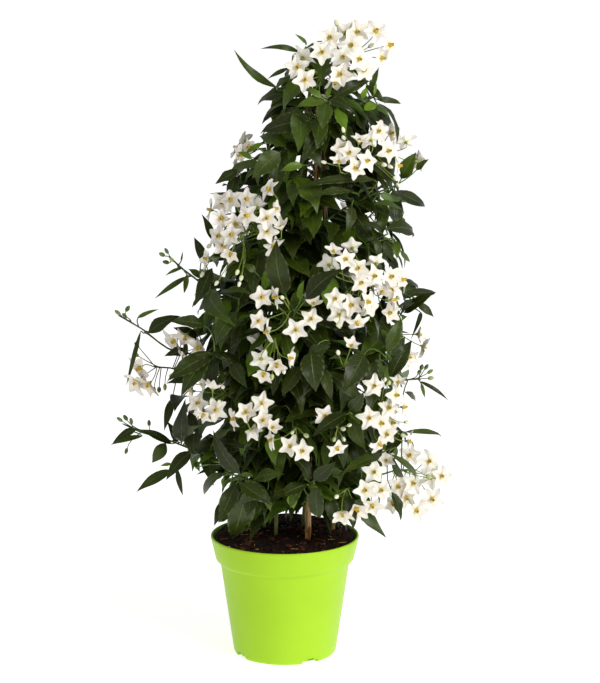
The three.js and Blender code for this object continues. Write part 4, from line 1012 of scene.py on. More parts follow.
@dataclass
class FlowerMaker:
    """Shapes flowers: a five-lobed white corolla round a cone of anthers, on a green calyx.

    `outline` is how far a petal reaches, from its middle to the gap beside it, `crowding` draws its
    points towards its middle, and `cupped` are the cups that an open flower may have. The petals'
    sizes, bends and leans are the least and the most that is drawn, as shares of their length. The
    anthers have their given size in a corolla of the `usual` radius, and `mouth` is the width of
    their rim and the depth of the hollow inside it.
    """

    petals: int = 5
    steps: int = 6
    rings: tuple[float, ...] = (0.2, 0.5, 0.78, 1.0)
    outline: tuple[float, ...] = (1.0, 0.84, 0.73, 0.4)
    crowding: float = 1.6
    cupped: tuple[float, ...] = (0.0, 0.0, 0.12, 0.25, 0.5)
    bends: Pair = (-0.75, 0.2)
    sizes: Pair = (0.93, 1.07)
    leans: Pair = (-0.22, 0.22)
    fold: float = 0.13
    spread: float = 1.12
    thickness: float = 0.3 * MM
    # How much of the petals' grey-pink tone a flower gets: a random tone, and more on the shoots
    # and drooping sprigs as painted shade
    shades: Pair = (0.0, 0.3)
    painted_shade_tints: Pair = (0.2, 0.5)
    usual: float = 12 * MM
    cone_radii: Pair = (1.95 * MM, 1.35 * MM)
    cone_length: float = 4.2 * MM
    cone_middle: float = 2 * MM
    groove: float = 0.72
    mouth: Pair = (0.4 * MM, 1.1 * MM)
    cup_radii: Pair = (0.7 * MM, 1.9 * MM)
    cup_length: float = 2.6 * MM
    cup_middle: float = -1.4 * MM
    teeth: float = 0.7
    bud_calyx: float = 0.24
    bud_lengths: Pair = (0.85, 1.0)
    bud_widths: Pair = (0.85, 1.1)
    bud_ripening: float = 0.25
    pedicel: float = 0.48 * MM
    pedicel_taper: Pair = (1.15, 0.9)
    pedicel_bend: float = 0.45
    corolla: Pattern = field(init=False)
    cone: Pattern = field(init=False)
    cup: Pattern = field(init=False)
    bud: Pattern = field(init=False)
    stalk: Pattern = field(init=False)

    def __post_init__(self) -> None:
        """Models the corolla, anthers, calyx, bud and stalk that all flowers are copied from."""
        self.corolla = Pattern(self.flat_corolla())
        self.cone = Pattern(self.anther_cone())
        self.cup = Pattern(self.calyx())
        self.bud = Pattern(self.round_bud())
        self.stalk = thin_stalk("pedicel", PEDICEL)

    def flat_corolla(self) -> Object:
        """Models the corolla as a disc of rings, which a copy draws out into petals.

        Returns:
            The disc with its underside.
        """
        item = started(
            "corolla", bpy.ops.mesh.primitive_circle_add, vertices=self.petals * self.steps,
            radius=self.rings[0], fill_type="TRIFAN", calc_uvs=False,
        )
        edit(item)
        for inner, outer in zip(self.rings, self.rings[1:]):
            mesh = bmesh.from_edit_mesh(item.data)
            pick(mesh, mesh.edges, lambda e: e.is_boundary)
            bpy.ops.mesh.extrude_edges_move(TRANSFORM_OT_translate={"value": (0, 0, 0)})
            wider = outer / inner
            bpy.ops.transform.resize(value=(wider, wider, 1), center_override=(0, 0, 0))
        leave_edit()
        painted(item, PETAL)
        close_thin_shell(item, 0)
        layer = item.data.uv_layers.new(name="UVMap")
        for polygon in item.data.polygons:
            middle = math.atan2(polygon.center.y, polygon.center.x)
            for index in polygon.loop_indices:
                place = item.data.vertices[item.data.loops[index].vertex_index].co
                turn = math.atan2(place.y, place.x) - middle
                turn = middle + (turn + math.pi) % (2 * math.pi) - math.pi
                layer.data[index].uv = (math.hypot(place.x, place.y), turn / (2 * math.pi))
        return item

    def fluted(
        self, name: str, radii: Pair, length: float, middle: float, groove: float, lowest: float
    ) -> Object:
        """Models a cone whose every second edge is drawn in, which leaves a ridge for each petal.

        Args:
            name: the object's name.
            radii: its lower and upper radius.
            length: how long it is.
            middle: the height of its middle.
            groove: how far out a groove lies, as a share of the radius.
            lowest: the height above which it has grooves.

        Returns:
            The cone, still in edit mode.
        """
        sides = 2 * self.petals
        item = started(
            name, bpy.ops.mesh.primitive_cone_add, vertices=sides, radius1=radii[0],
            radius2=radii[1], depth=length, location=(0, 0, middle),
        )
        mesh = edit(item)
        step = 360 / sides
        pick(mesh, mesh.verts, lambda v: v.co.z > lowest
             and round(math.degrees(math.atan2(v.co.y, v.co.x)) / step) % 2)
        bpy.ops.transform.resize(value=(groove, groove, 1), center_override=(0, 0, 0))
        return item

    def anther_cone(self) -> Object:
        """Models the five anthers as one grooved cone with an open, greenish mouth.

        Returns:
            The cone, from the corolla up, in metres.
        """
        item = self.fluted(
            "anthers", self.cone_radii, self.cone_length, self.cone_middle, self.groove, -1.0
        )
        mesh = bmesh.from_edit_mesh(item.data)
        pick(mesh, mesh.faces, lambda f: f.normal.z > 0.9)
        rim, hollow = self.mouth
        bpy.ops.mesh.inset(thickness=rim)
        bpy.ops.transform.translate(value=(0, 0, -hollow))
        mesh = bmesh.from_edit_mesh(item.data)
        for face in mesh.faces:
            face.material_index = 1 if face.select else 0
        leave_edit()
        painted(item, ANTHER, ANTHER_MOUTH)
        return item

    def calyx(self) -> Object:
        """Models the green calyx behind the corolla, with five short teeth.

        Returns:
            The calyx, from the pedicel up to the corolla, in metres.
        """
        item = self.fluted(
            "calyx", self.cup_radii, self.cup_length, self.cup_middle, self.teeth, -0.5 * MM
        )
        leave_edit()
        painted(item, CALYX)
        return item

    def round_bud(self) -> Object:
        """Models a bud as a pointed drop of length 1 and radius 1 with a green calyx at its foot.

        Returns:
            The bud.
        """
        item = started(
            "bud", bpy.ops.mesh.primitive_uv_sphere_add, segments=8, ring_count=7, radius=1
        )
        for vertex in item.data.vertices:
            place = vertex.co
            high = (place.z + 1) / 2
            wide = 1.0 if place.z < 0 else 1 - 0.28 * place.z**2
            vertex.co = (place.x * wide, place.y * wide, high)
        for face in item.data.polygons:
            face.material_index = 1 if face.center.z < self.bud_calyx else 0
        painted(item, BUD_SKIN, CALYX)
        return item

    def reach(self, turn: np.ndarray) -> np.ndarray:
        """The corolla's edge at an angle, as a share of a petal's length.

        Args:
            turn: angles from the nearest petal's middle, as shares of half a petal.

        Returns:
            The edge's distance from the eye.
        """
        return np.interp(np.abs(turn), np.linspace(0, 1, len(self.outline)), self.outline)

    def made(self, bloom: Bloom, draw: Random) -> list[Object]:
        """Shapes one flower.

        Args:
            bloom: the flower's place and petals.
            draw: the random stream of its petals' curl.

        Returns:
            Its corolla, anthers, calyx and pedicel.
        """
        rows = np.array([tip - bloom.centre for tip in bloom.tips])
        face = np.array(bloom.face)
        rises = rows @ face
        flat = rows - np.outer(rises, face)
        lengths = np.linalg.norm(flat, axis=1)
        radius = float(lengths.mean()) * self.spread
        rise = float(rises.mean())
        first = flat[0] / lengths[0]
        second = np.cross(face, first)
        x, y, under = self.corolla.places.T
        share = np.hypot(x, y)
        angle = np.arctan2(y, x)
        pitch = 2 * np.pi / self.petals
        number = np.round(angle / pitch)
        aside = (angle - number * pitch) / (pitch / 2)
        warped = number * pitch + np.sign(aside) * np.abs(aside) ** self.crowding * pitch / 2
        petal = number.astype(int) % self.petals
        bends, sizes, leans = (
            np.array([draw.uniform(*limits) for _ in range(self.petals)])[petal]
            for limits in (self.bends, self.sizes, self.leans)
        )
        cup = 0.0 if bloom.dark else draw.choice(self.cupped)
        outer = share * self.reach(aside) * (1 + (sizes - 1) * (1 - np.abs(aside)))
        fold = self.fold * np.abs(aside) * share
        tipped = np.clip(outer - 0.5, 0, 1) ** 1.4 * bends
        leaning = leans * aside * (1 - np.abs(aside)) * 2 * share
        lift = rise * outer + radius * (fold + tipped + leaning + cup * outer**2)
        lift += under * self.thickness
        distance = radius * outer * (1 - 0.4 * cup * outer)
        points = along_axes(
            bloom.centre, (distance * np.cos(warped), first), (distance * np.sin(warped), second),
            (lift, face),
        )
        frame = np.array([first, second, face])
        # The flowers of the shoots and drooping sprigs get more of the grey-pink tone, as painted
        # shade
        shade = draw.uniform(*(self.painted_shade_tints if bloom.dark else self.shades))
        cone = np.array(bloom.centre) + (self.cone.places * (radius / self.usual)) @ frame
        calyx = np.array(bloom.centre) + self.cup.places @ frame
        neck = bloom.centre - bloom.face * 2.2 * MM
        return [
            self.corolla.copy(points, shade), self.cone.copy(cone, shade),
            self.cup.copy(calyx, shade), self.pedicel_of(bloom.foot, neck, bloom.face, bloom.dark),
        ]

    def pedicel_of(self, foot: Vector, end: Vector, axis: Vector, dark: bool) -> Object:
        """Lays a stalk from the twig into the back of a flower or bud.

        Args:
            foot: where it grows from.
            end: where it ends.
            axis: the way that the flower or bud faces.
            dark: whether it is dark, as on the drooping sprigs.

        Returns:
            The stalk.
        """
        bend = end - axis * (end - foot).length * self.pedicel_bend
        radii = (self.pedicel * share for share in self.pedicel_taper)
        item = self.stalk.copy(laid_along(self.stalk.places, foot, bend, end, *radii), 0.5)
        if dark:
            item.data.materials[0] = DARK_TWIG.material()
        return item

    def made_bud(self, bud: Bud, draw: Random) -> list[Object]:
        """Shapes one bud.

        Args:
            bud: the bud's place.
            draw: the random stream of its size.

        Returns:
            The bud and its stalk.
        """
        axis = bud.tip - bud.neck
        length = axis.length * draw.uniform(*self.bud_lengths)
        axis.normalize()
        side, other = square_to(axis, UP)
        radius = SKIN_BUD_RADIUS * draw.uniform(*self.bud_widths)
        x, y, z = self.bud.places.T
        points = along_axes(bud.neck, (x * radius, side), (y * radius, other), (z * length, axis))
        ripeness = bud.ripe + draw.uniform(-self.bud_ripening, self.bud_ripening)
        neck = bud.neck + axis * 0.3 * MM
        return [
            self.bud.copy(points, min(1.0, max(0.0, ripeness))),
            self.pedicel_of(bud.foot, neck, axis, bud.ripe < 0.5),
        ]

    def remove(self) -> None:
        """Removes the patterns."""
        for pattern in (self.corolla, self.cone, self.cup, self.bud, self.stalk):
            pattern.remove()


# The camera


@dataclass
class Studio:
    """The white floor, the soft light from the right, and the camera of the photograph.

    Each softbox has its name, its place, the side of its square and its strength in watts.
    """

    eye: Triple = (0.0153, -2.5, 0.818)
    pitch: float = 78.74
    lens: float = 134.99
    sensor: float = 36.0
    sky: float = 0.37
    floor_size: float = 400.0
    floor_colour: str = "#ececec"
    floor_glow: float = 0.7
    target: Triple = (0.0, 0.0, 0.35)
    softboxes: tuple[tuple[str, Triple, float, float], ...] = (
        ("key_softbox", (1.65, -1.65, 1.6), 1.3, 49.0),
        ("fill_softbox", (-1.8, -1.3, 1.1), 1.5, 2.0),
    )

    @property
    def focal(self) -> float:
        """The focal length in pixels of the photograph."""
        return self.lens / self.sensor * PHOTO[1]

    @property
    def dip(self) -> float:
        """How far the camera looks down, in radians."""
        return math.radians(90 - self.pitch)

    def pixel(self, point: Vector) -> Vector:
        """Finds where the photograph shows a point.

        Args:
            point: the point.

        Returns:
            Its pixel, to the right and down.
        """
        x, y, z = point - Vector(self.eye)
        depth = y * math.cos(self.dip) - z * math.sin(self.dip)
        down = -z * math.cos(self.dip) - y * math.sin(self.dip)
        scale = self.focal / depth
        return Vector((PHOTO[0] / 2 + x * scale, PHOTO[1] / 2 + down * scale))

    def sight(self, pixel: Pair, back: float) -> Vector:
        """Finds the point that a pixel of the photograph shows.

        Args:
            pixel: the pixel.
            back: how far behind the pot's axis the point lies.

        Returns:
            The point.
        """
        sine, cosine = math.sin(self.dip), math.cos(self.dip)
        slope = (pixel[1] - PHOTO[1] / 2) / self.focal
        away = back - self.eye[1]
        drop = away * (sine + slope * cosine) / (cosine - slope * sine)
        depth = away * cosine + drop * sine
        x = self.eye[0] + (pixel[0] - PHOTO[0] / 2) * depth / self.focal
        return Vector((x, back, self.eye[2] - drop))

    def build(self) -> None:
        """Sets up the floor, the world, the lights and the camera."""
        scene = bpy.context.scene
        floor = started("studio_floor", bpy.ops.mesh.primitive_plane_add, size=self.floor_size)
        # Matt white paper that glows a little, so that it comes out as white as the photograph's
        paper = bpy.data.materials.new("matt_white_paper")
        paper.use_nodes = True
        shader = paper.node_tree.nodes["Principled BSDF"]
        for key, value in {
            "Base Color": linear(self.floor_colour), "Roughness": 0.9,
            "Emission Color": linear("#ffffff"), "Emission Strength": self.floor_glow,
        }.items():
            shader.inputs[key].default_value = value
        floor.data.materials.append(paper)
        scene.world = bpy.data.worlds.new("white_studio")
        scene.world.use_nodes = True
        back = scene.world.node_tree.nodes["Background"]
        back.inputs["Color"].default_value = linear("#ffffff")
        back.inputs["Strength"].default_value = self.sky
        scene.view_settings.view_transform = "Standard"
        for name, place, size, power in self.softboxes:
            lamp = bpy.data.lights.new(name, "AREA")
            lamp.size, lamp.energy = size, power
            item = bpy.data.objects.new(name, lamp)
            item.location = place
            way = Vector(self.target) - item.location
            item.rotation_euler = way.to_track_quat("-Z", "Y").to_euler()
            scene.collection.objects.link(item)
        camera = bpy.data.objects.new("camera", bpy.data.cameras.new("camera"))
        camera.location = self.eye
        camera.rotation_euler = (math.radians(self.pitch), 0, 0)
        camera.data.lens, camera.data.sensor_width = self.lens, self.sensor
        scene.collection.objects.link(camera)
        scene.camera = camera


# What the frame's skins hold


def middle_of(vertices: list[BMVert]) -> Vector:
    """The middle of some vertices."""
    return sum((v.co for v in vertices), Vector()) / len(vertices)


@dataclass
class Skin:
    """One node's skin of facets, read back into its flowers, buds, leaves and bare twigs."""

    node: Object
    blooms: list[Bloom] = field(default_factory=list)
    buds: list[Bud] = field(default_factory=list)
    blades: list[Blade] = field(default_factory=list)
    spent: set[BMVert] = field(default_factory=set)

    def __post_init__(self) -> None:
        """Reads the skin."""
        self.mesh = bmesh.new()
        self.mesh.from_mesh(self.node.data)
        bmesh.ops.remove_doubles(self.mesh, verts=self.mesh.verts, dist=WELD)
        self.mesh.normal_update()
        for read in (self.read_bloom, self.read_bud, self.read_blade):
            for vertex in self.mesh.verts:
                read(vertex)

    def around(self, vertices: Iterable[BMVert]) -> list[BMVert]:
        """The vertices next to some, without those and without what is already read.

        Args:
            vertices: the vertices.

        Returns:
            Their neighbours, each once, in a steady order.
        """
        inner = set(vertices) | self.spent
        found = {e.other_vert(v) for v in vertices for e in v.link_edges}
        return sorted(found - inner, key=lambda v: v.index)

    def read_bloom(self, apex: BMVert) -> None:
        """Reads a flower if this vertex is the point of its cone."""
        edge = math.hypot(SKIN_EYE, SKIN_CONE - SKIN_EYE_LIFT)
        if len(apex.link_edges) != 5 or not self.all_edges(apex, edge):
            return
        eyes = self.around([apex])
        face = (apex.co - middle_of(eyes)).normalized()
        centre = apex.co - face * SKIN_CONE
        rim = self.around([apex, *eyes])
        far = sorted(rim, key=lambda v: -(v.co - centre).length)
        foot = self.stalk_foot([apex, *eyes, *rim])
        self.blooms.append(Bloom(centre, face, [v.co.copy() for v in far[:5]], foot))

    def read_bud(self, tip: BMVert) -> None:
        """Reads a bud if this vertex is its tip."""
        edge = math.hypot(SKIN_BUD_RADIUS, SKIN_BUD_LENGTH * SKIN_BUD_BELLY)
        if tip in self.spent or len(tip.link_edges) != 3 or not self.all_edges(tip, edge):
            return
        ring = self.around([tip])
        axis = (tip.co - middle_of(ring)).normalized()
        foot = self.stalk_foot([tip, *ring])
        self.buds.append(Bud(tip.co - axis * SKIN_BUD_LENGTH, tip.co.copy(), foot))

    def read_blade(self, tip: BMVert) -> None:
        """Reads a leaf if this vertex is its tip."""
        if tip in self.spent or len(tip.link_edges) != 6:
            return
        rim = self.around([tip])
        ends = self.thin_edges(rim, rim)
        if len(rim) != 6 or len(ends) != 2:
            return
        sides = [(e.verts[0].co + e.verts[1].co) / 2 for e in ends]
        mids = [v for v in rim if not any(v in e.verts for e in ends)]
        middle = (mids[0].co + mids[1].co) / 2
        face = (ends[0].verts[0].co - ends[0].verts[1].co).normalized()
        if ((sides[0] + sides[1]) / 2 - middle).dot(face) < 0:
            face.negate()
        side = (sides[0] - sides[1]).normalized()
        axis = side.cross(face)
        if axis.dot(tip.co - middle) < 0:
            axis.negate()
        half = (sides[0] - sides[1]).length / 2
        near = self.around([tip, *rim])
        first = [v for v in near if self.thin_edges([v], near)]
        station = SKIN_LONG_STATION if first else SKIN_SHORT_STATION
        way = tip.co - middle
        length = way.dot(axis) / (1 - station)
        arch = -way.dot(face) / (4 * station * (1 - station) * length)
        width = 2 * half / (SKIN_LONG_SHARE if first else 1)
        spent = [tip, *rim]
        if first:
            spent += [v for v in near if v in first or self.is_midrib(v, first)]
        base = tip.co - axis * length
        foot = self.stalk_foot(spent)
        self.blades.append(Blade(foot, base, tip.co.copy(), face, width, arch))

    def stalk_foot(self, head: list[BMVert]) -> Vector:
        """Takes a leaf, flower or bud out of the skin, and its stalk with it.

        Args:
            head: the vertices of the leaf, flower or bud.

        Returns:
            The middle of the twig's facet that the stalk grows from.
        """
        self.spent.update(head)
        taken = list(head)
        while True:
            ring = self.around(taken)
            widest = max((a.co - b.co).length for a in ring for b in ring)
            if len(ring) != 3 or widest > SKIN_RING:
                return middle_of(ring)
            self.spent.update(ring)
            taken += ring

    @staticmethod
    def all_edges(vertex: BMVert, length: float) -> bool:
        """True where every edge of a vertex has this length."""
        return all(abs(e.calc_length() - length) < SKIN_FIT for e in vertex.link_edges)

    @staticmethod
    def thin_edges(vertices: list[BMVert], others: list[BMVert]) -> list[BMEdge]:
        """The edges across a blade's thickness, between two groups of vertices."""
        edges = {e for v in vertices for e in v.link_edges if e.other_vert(v) in others}
        thin = [e for e in edges if abs(e.calc_length() - SKIN_BLADE) < SKIN_FIT]
        return sorted(thin, key=lambda e: e.index)

    @staticmethod
    def is_midrib(vertex: BMVert, first: list[BMVert]) -> bool:
        """True where a vertex lies on the midrib, between the two edges of the blade."""
        touching = {e.other_vert(vertex) for e in vertex.link_edges} & set(first)
        return len(touching) == 2

    def bare(self, name: str, fatter: float, levels: int) -> Object:
        """Makes the twigs alone: what is left of the skin, closed, filled out and rounded.

        Args:
            name: the object's name.
            fatter: how far the skin moves out first, to keep its width when it is rounded.
            levels: how often it is subdivided.

        Returns:
            The twigs.
        """
        bmesh.ops.delete(self.mesh, geom=list(self.spent), context="VERTS")
        data = bpy.data.meshes.new(name)
        self.mesh.to_mesh(data)
        self.mesh.free()
        item = bpy.data.objects.new(name, data)
        bpy.context.scene.collection.objects.link(item)
        data.materials.clear()
        edit(item, whole=True)
        bpy.ops.mesh.fill_holes(sides=6)
        bpy.ops.transform.shrink_fatten(value=fatter)
        leave_edit()
        modified(item, "SUBSURF", levels=levels, render_levels=levels)
        return item

    def feet(self, spacing: float) -> list[tuple[Vector, Vector]]:
        """Lists the places on the twigs from which more leaves can grow.

        Args:
            spacing: the distance between them.

        Returns:
            Each place, and the way outwards from the twig there.
        """
        found = []
        for edge in self.mesh.edges:
            first, last = edge.verts
            if first in self.spent or last in self.spent:
                continue
            steps = int(edge.calc_length() / spacing)
            for i in range(steps):
                share = (i + 0.5) / steps
                normal = first.normal.lerp(last.normal, share).normalized()
                place = first.co.lerp(last.co, share) - normal * FOOT_SINK * MM
                found.append((place, normal))
        return found


@dataclass
class Spray:
    """One leafy shoot or flower cluster, made anew in place of its node.

    `green` and `ripe` are how far its buds have opened on a dark spray and on a light one.
    """

    name: str
    kind: Kind
    skin: Skin
    twig_growth: float = 0.25 * MM
    green: float = 0.15
    ripe: float = 0.7

    # Dark sprays also get painted shade on their flowers' petals
    @property
    def dark(self) -> bool:
        """Whether its twigs, stalks and buds are dark: those of the shoots and drooping sprigs."""
        return self.kind is Kind.SHOOT or self.name == DROOPING

    def build(self, leaves: LeafMaker, flowers: FlowerMaker, draw: Random) -> None:
        """Builds its twigs, leaves and flowers.

        Args:
            leaves: shapes the leaves.
            flowers: shapes the flowers.
            draw: the random stream.
        """
        skin = self.skin
        blades = [item for leaf in skin.blades for item in leaves.made(leaf, draw)]
        # Flowers of dark sprays take painted shade on their petals
        for bloom in skin.blooms:
            bloom.dark = self.dark
        blooms = [item for bloom in skin.blooms for item in flowers.made(bloom, draw)]
        for bud in skin.buds:
            bud.ripe = self.green if self.dark else self.ripe
            blooms += flowers.made_bud(bud, draw)
        twigs = skin.bare(f"{self.name}_twigs", self.twig_growth, 1)
        painted(twigs, DARK_TWIG if self.dark else GREEN_STALK)
        dressed(twigs, Slot.STEM, self.name)
        for items, slot, ending in (
            (blades, Slot.LEAF, "leaves"), (blooms, Slot.FLOWER, "flowers")
        ):
            if items:
                dressed(joined(items, f"{self.name}_{ending}"), slot, self.name)


@dataclass(frozen=True)
class Growth:
    """One round of further leaves.

    It says how many are wanted, how often each may cross another, how far it may turn from straight
    outwards in radians, and how far from the middle it may root.
    """

    wanted: int
    crossings: int
    turning: float
    reach: float = 200 * MM


@dataclass(frozen=True)
class SeenLeaf:
    """A leaf that the photograph shows and the frame lacks.

    Its base, tip and width are in the photograph's pixels, and `forward` is how many millimetres
    it lies in front of its twig.
    """

    base: Pair
    tip: Pair
    width: float
    arch: float = 0.06
    tint: float = 0.3
    forward: float = 0.0


SEEN_LEAVES = (
    SeenLeaf((238, 170), (215, 184), 12), SeenLeaf((236, 176), (228, 201), 12),
    SeenLeaf((236, 252), (204, 263), 14), SeenLeaf((213, 240), (202, 214), 9),
    SeenLeaf((212, 268), (194, 306), 15), SeenLeaf((205, 325), (170, 321), 15),
    SeenLeaf((186, 350), (164, 356), 12), SeenLeaf((208, 352), (180, 396), 22),
    SeenLeaf((205, 378), (166, 383), 12), SeenLeaf((172, 398), (164, 431), 9),
    SeenLeaf((189, 412), (198, 436), 11), SeenLeaf((172, 444), (138, 429), 11),
    SeenLeaf((137, 428), (112, 443), 9), SeenLeaf((191, 451), (166, 480), 15),
    SeenLeaf((226, 499), (214, 526), 11), SeenLeaf((404, 313), (436, 291), 13),
    SeenLeaf((402, 431), (384, 459), 14), SeenLeaf((366, 85), (386, 103), 9),
    SeenLeaf((214, 354), (168, 380), 22), SeenLeaf((311, 139), (331, 130), 8, tint=0.8),
    SeenLeaf((198, 342), (174, 327), 17), SeenLeaf((300, 420), (322, 437), 14),
    SeenLeaf((236, 484), (218, 523), 18),
    SeenLeaf((258, 507), (231, 538), 25, tint=0.4, forward=22),
    SeenLeaf((267, 514), (237, 507), 12, tint=0.75, forward=30),
    SeenLeaf((240, 483), (272, 505), 18, forward=14),
    SeenLeaf((291, 494), (294, 509), 11, tint=0.85),
    SeenLeaf((307, 484), (276, 497), 15, forward=10),
    SeenLeaf((347, 496), (356, 524), 13), SeenLeaf((252, 492), (247, 517), 16, forward=4),
    SeenLeaf((330, 496), (335, 527), 14, forward=12),
    SeenLeaf((297, 487), (283, 512), 15, forward=-24),
    SeenLeaf((281, 487), (299, 513), 15, forward=-30),
)
# Pixels at which the photograph shows bare soil under the leaves
OPEN_SOIL = ((280, 530), (296, 530), (309, 520), (322, 530))


@dataclass(frozen=True)
class Touch:
    """A leaf of the frame that the photograph shows another way, found by its tip's pixel.

    It gets this arch. Where a base is given, it is also moved to these pixels and gets this width
    in millimetres.
    """

    node: str
    tip: Pair
    arch: float
    base: Pair | None = None
    width: float = 0.0


@dataclass(frozen=True)
class Nodding:
    """How the photograph shows the flowers of a cluster.

    Those that face between `from_y` and `to_y` keep this share of their own way and turn to `face`,
    close by this share and grow by this factor.
    """

    node: str
    face: Triple
    keep: float
    closing: float
    size: float
    from_y: float = -1.0
    to_y: float = 0.35


DROOPING = "left_drooping_cluster"
# The left flowers hang half closed, and those at the right spray's end look at the viewer
NODDING = (
    Nodding(DROOPING, (-0.55, -0.6, -0.6), 0.3, 0.32, 1.35, from_y=-0.3, to_y=1.0),
    Nodding("right_trailing_cluster", (-0.1, -0.9, 0.1), 0.6, 0.0, 1.05),
    Nodding("crown_cluster", (0.0, -0.35, -0.1), 1.0, 0.0, 1.1, to_y=1.0),
    Nodding("low_single_bloom", (0.25, -0.8, -0.3), 0.4, 0.1, 1.2, to_y=1.0),
)

# The crown's two long leaves curve, and one low leaf lies in front of the pot's rim
TOUCHES = (
    Touch("crown_left_shoot", (235, 50), -0.2),
    Touch("crown_left_shoot", (262, 46), 0.3),
    Touch("low_right_shoot", (387, 538), -0.05, (354, 500), 14),
)


@dataclass
class Filling:
    """Further leaves all round and inside, which make the plant as dense as the real one.

    Each grows from a twig or stem, stays inside the outline, keeps clear of what is there and hides
    no flower from the front. Pairs of numbers are the least and the most that is drawn. Space is
    told in cells, and a blade or petal fills the cells of its sample points. `leaning` is how much
    a petiole leaves its twig squarely and how much it leaves the plant, and `facing` how much a
    seen leaf turns to the viewer and to the sky.
    """

    studio: Studio
    passes: tuple[Growth, ...] = (
        Growth(560, 0, 0.8), Growth(400, 5, 0.9), Growth(260, 8, 3.0, 52 * MM),
    )
    tries: int = 12000
    cell: float = 5.2 * MM
    lengths: Pair = (34 * MM, 58 * MM)
    stalks: Pair = (8 * MM, 26 * MM)
    width: Pair = (0.4, 0.58)
    lowest: float = 138 * MM
    young: float = 37 * MM
    young_tints: Pair = (0.6, 0.85)
    old_tints: Pair = (0.0, 0.6)
    arches: Pair = (0.02, 0.1)
    droops: Pair = (0.05, 1.15)
    rises: Pair = (0.0, 0.6)
    leaning: Pair = (0.8, 0.7)
    rolling: float = 0.35
    spacing: float = 6 * MM
    close_spacing: float = 4 * MM
    stations: tuple[float, ...] = (0.06, 0.17, 0.28, 0.39, 0.5, 0.61, 0.72, 0.84, 0.95)
    lanes: tuple[float, ...] = (-0.85, -0.4, 0, 0.4, 0.85)
    petal_stations: tuple[float, ...] = (0.0, 0.35, 0.7, 1.0)
    bloom_radius: float = 14 * MM
    bloom_depth: float = 4 * MM
    soil_back: float = 20 * MM
    depth_cost: float = 0.12
    seen_drop: float = 0.3
    facing: Pair = (0.8, 0.6)
    taken: set[tuple[int, int, int]] = field(default_factory=set)
    discs: list[tuple[Vector, Vector]] = field(default_factory=list)

    def cell_of(self, point: Iterable[float]) -> tuple[int, int, int]:
        """The cell of space that holds a point."""
        x, y, z = (math.floor(value / self.cell) for value in point)
        return x, y, z

    def samples(self, leaf: Blade) -> np.ndarray:
        """Points all over a blade.

        Args:
            leaf: the leaf.

        Returns:
            One row each.
        """
        length, axis, side, face = leaf.axes()
        rows = []
        for along in self.stations:
            half = leaf.width / 2 * math.sin(math.pi * min(along * 1.25, 0.5 + along * 0.5))
            lift = leaf.arch * length * 4 * along * (1 - along)
            for across in self.lanes:
                rows.append(
                    leaf.base + axis * along * length + side * across * half
                    + face * (lift + 0.25 * half * abs(across))
                )
        return np.array(rows)

    def occupy(self, points: Iterable[Iterable[float]]) -> None:
        """Marks the cells that hold these points as taken."""
        self.taken.update(self.cell_of(point) for point in points)

    def take_in(self, skins: Iterable[Skin]) -> None:
        """Marks the room that the frame's leaves, flowers, buds and twigs need.

        Args:
            skins: the skins that hold them.
        """
        for skin in skins:
            for leaf in skin.blades:
                self.occupy(self.samples(leaf))
            for bloom in skin.blooms:
                self.discs.append((bloom.centre, bloom.face))
                for tip in bloom.tips:
                    for share in self.petal_stations:
                        point = bloom.centre.lerp(tip, share)
                        self.occupy([point, point + bloom.face * 3 * MM])
            for bud in skin.buds:
                self.occupy([bud.neck, bud.tip])
            self.occupy(place for place, _ in skin.feet(self.close_spacing))

    def hides_bloom(self, points: np.ndarray) -> bool:
        """True where a leaf at these points would cover a flower as the camera sees it."""
        eye = np.array(self.studio.eye)
        rays = points - eye
        depths = np.linalg.norm(rays, axis=1)
        for centre, face in self.discs:
            way = np.array(centre) - eye
            depth = np.linalg.norm(way)
            near = depths < depth + self.bloom_depth
            if not near.any() or face.dot(Vector(way)) > 0:
                continue
            angles = np.linalg.norm(rays[near] / depths[near, None] - way / depth, axis=1)
            if (angles * depth < self.bloom_radius).any():
                return True
        return False

    def section(self, height: np.ndarray | float) -> tuple[np.ndarray, np.ndarray, np.ndarray]:
        """The foliage's oval section at a height.

        Args:
            height: one height, or a row of them.

        Returns:
            The oval's middle across, half its width and half its depth.
        """
        heights, left, right, depth = (np.array(row) * MM for row in zip(*OUTLINE))
        low, high, deep = (np.interp(height, heights, row) for row in (left, right, depth))
        return (low + high) / 2, (high - low) / 2, deep

    def inside(self, points: np.ndarray) -> bool:
        """True where all points lie inside the leafy outline."""
        middle, wide, deep = self.section(points[:, 2])
        across = (points[:, 0] - middle) / wide
        back = points[:, 1] / deep
        return bool((np.hypot(across, back) < 1).all() and points[:, 2].min() > self.lowest)

    def retouch(self, skins: dict[str, Skin]) -> None:
        """Changes single leaves and flowers of the frame to how the photograph shows them.

        Args:
            skins: the skins by the names of their nodes.
        """
        for touch in TOUCHES:
            blades = skins[touch.node].blades
            seen = Vector(touch.tip)
            leaf = min(blades, key=lambda b: (self.studio.pixel(b.tip) - seen).length)
            off = (self.studio.pixel(leaf.tip) - seen).length
            LOG.info("%s: leaf %.0f px off", touch.node, off)
            leaf.arch = touch.arch
            if touch.base:
                leaf.base = self.studio.sight(touch.base, leaf.base.y)
                leaf.tip = self.studio.sight(touch.tip, leaf.base.y - 10 * MM)
                leaf.width = touch.width * MM
                leaf.face = self.faced(leaf.base, (leaf.tip - leaf.base).normalized())
        for nodding in NODDING:
            for bloom in skins[nodding.node].blooms:
                if nodding.from_y < bloom.face.y < nodding.to_y:
                    face = bloom.face * nodding.keep + Vector(nodding.face)
                    bloom.nod(face.normalized(), nodding.closing, nodding.size)

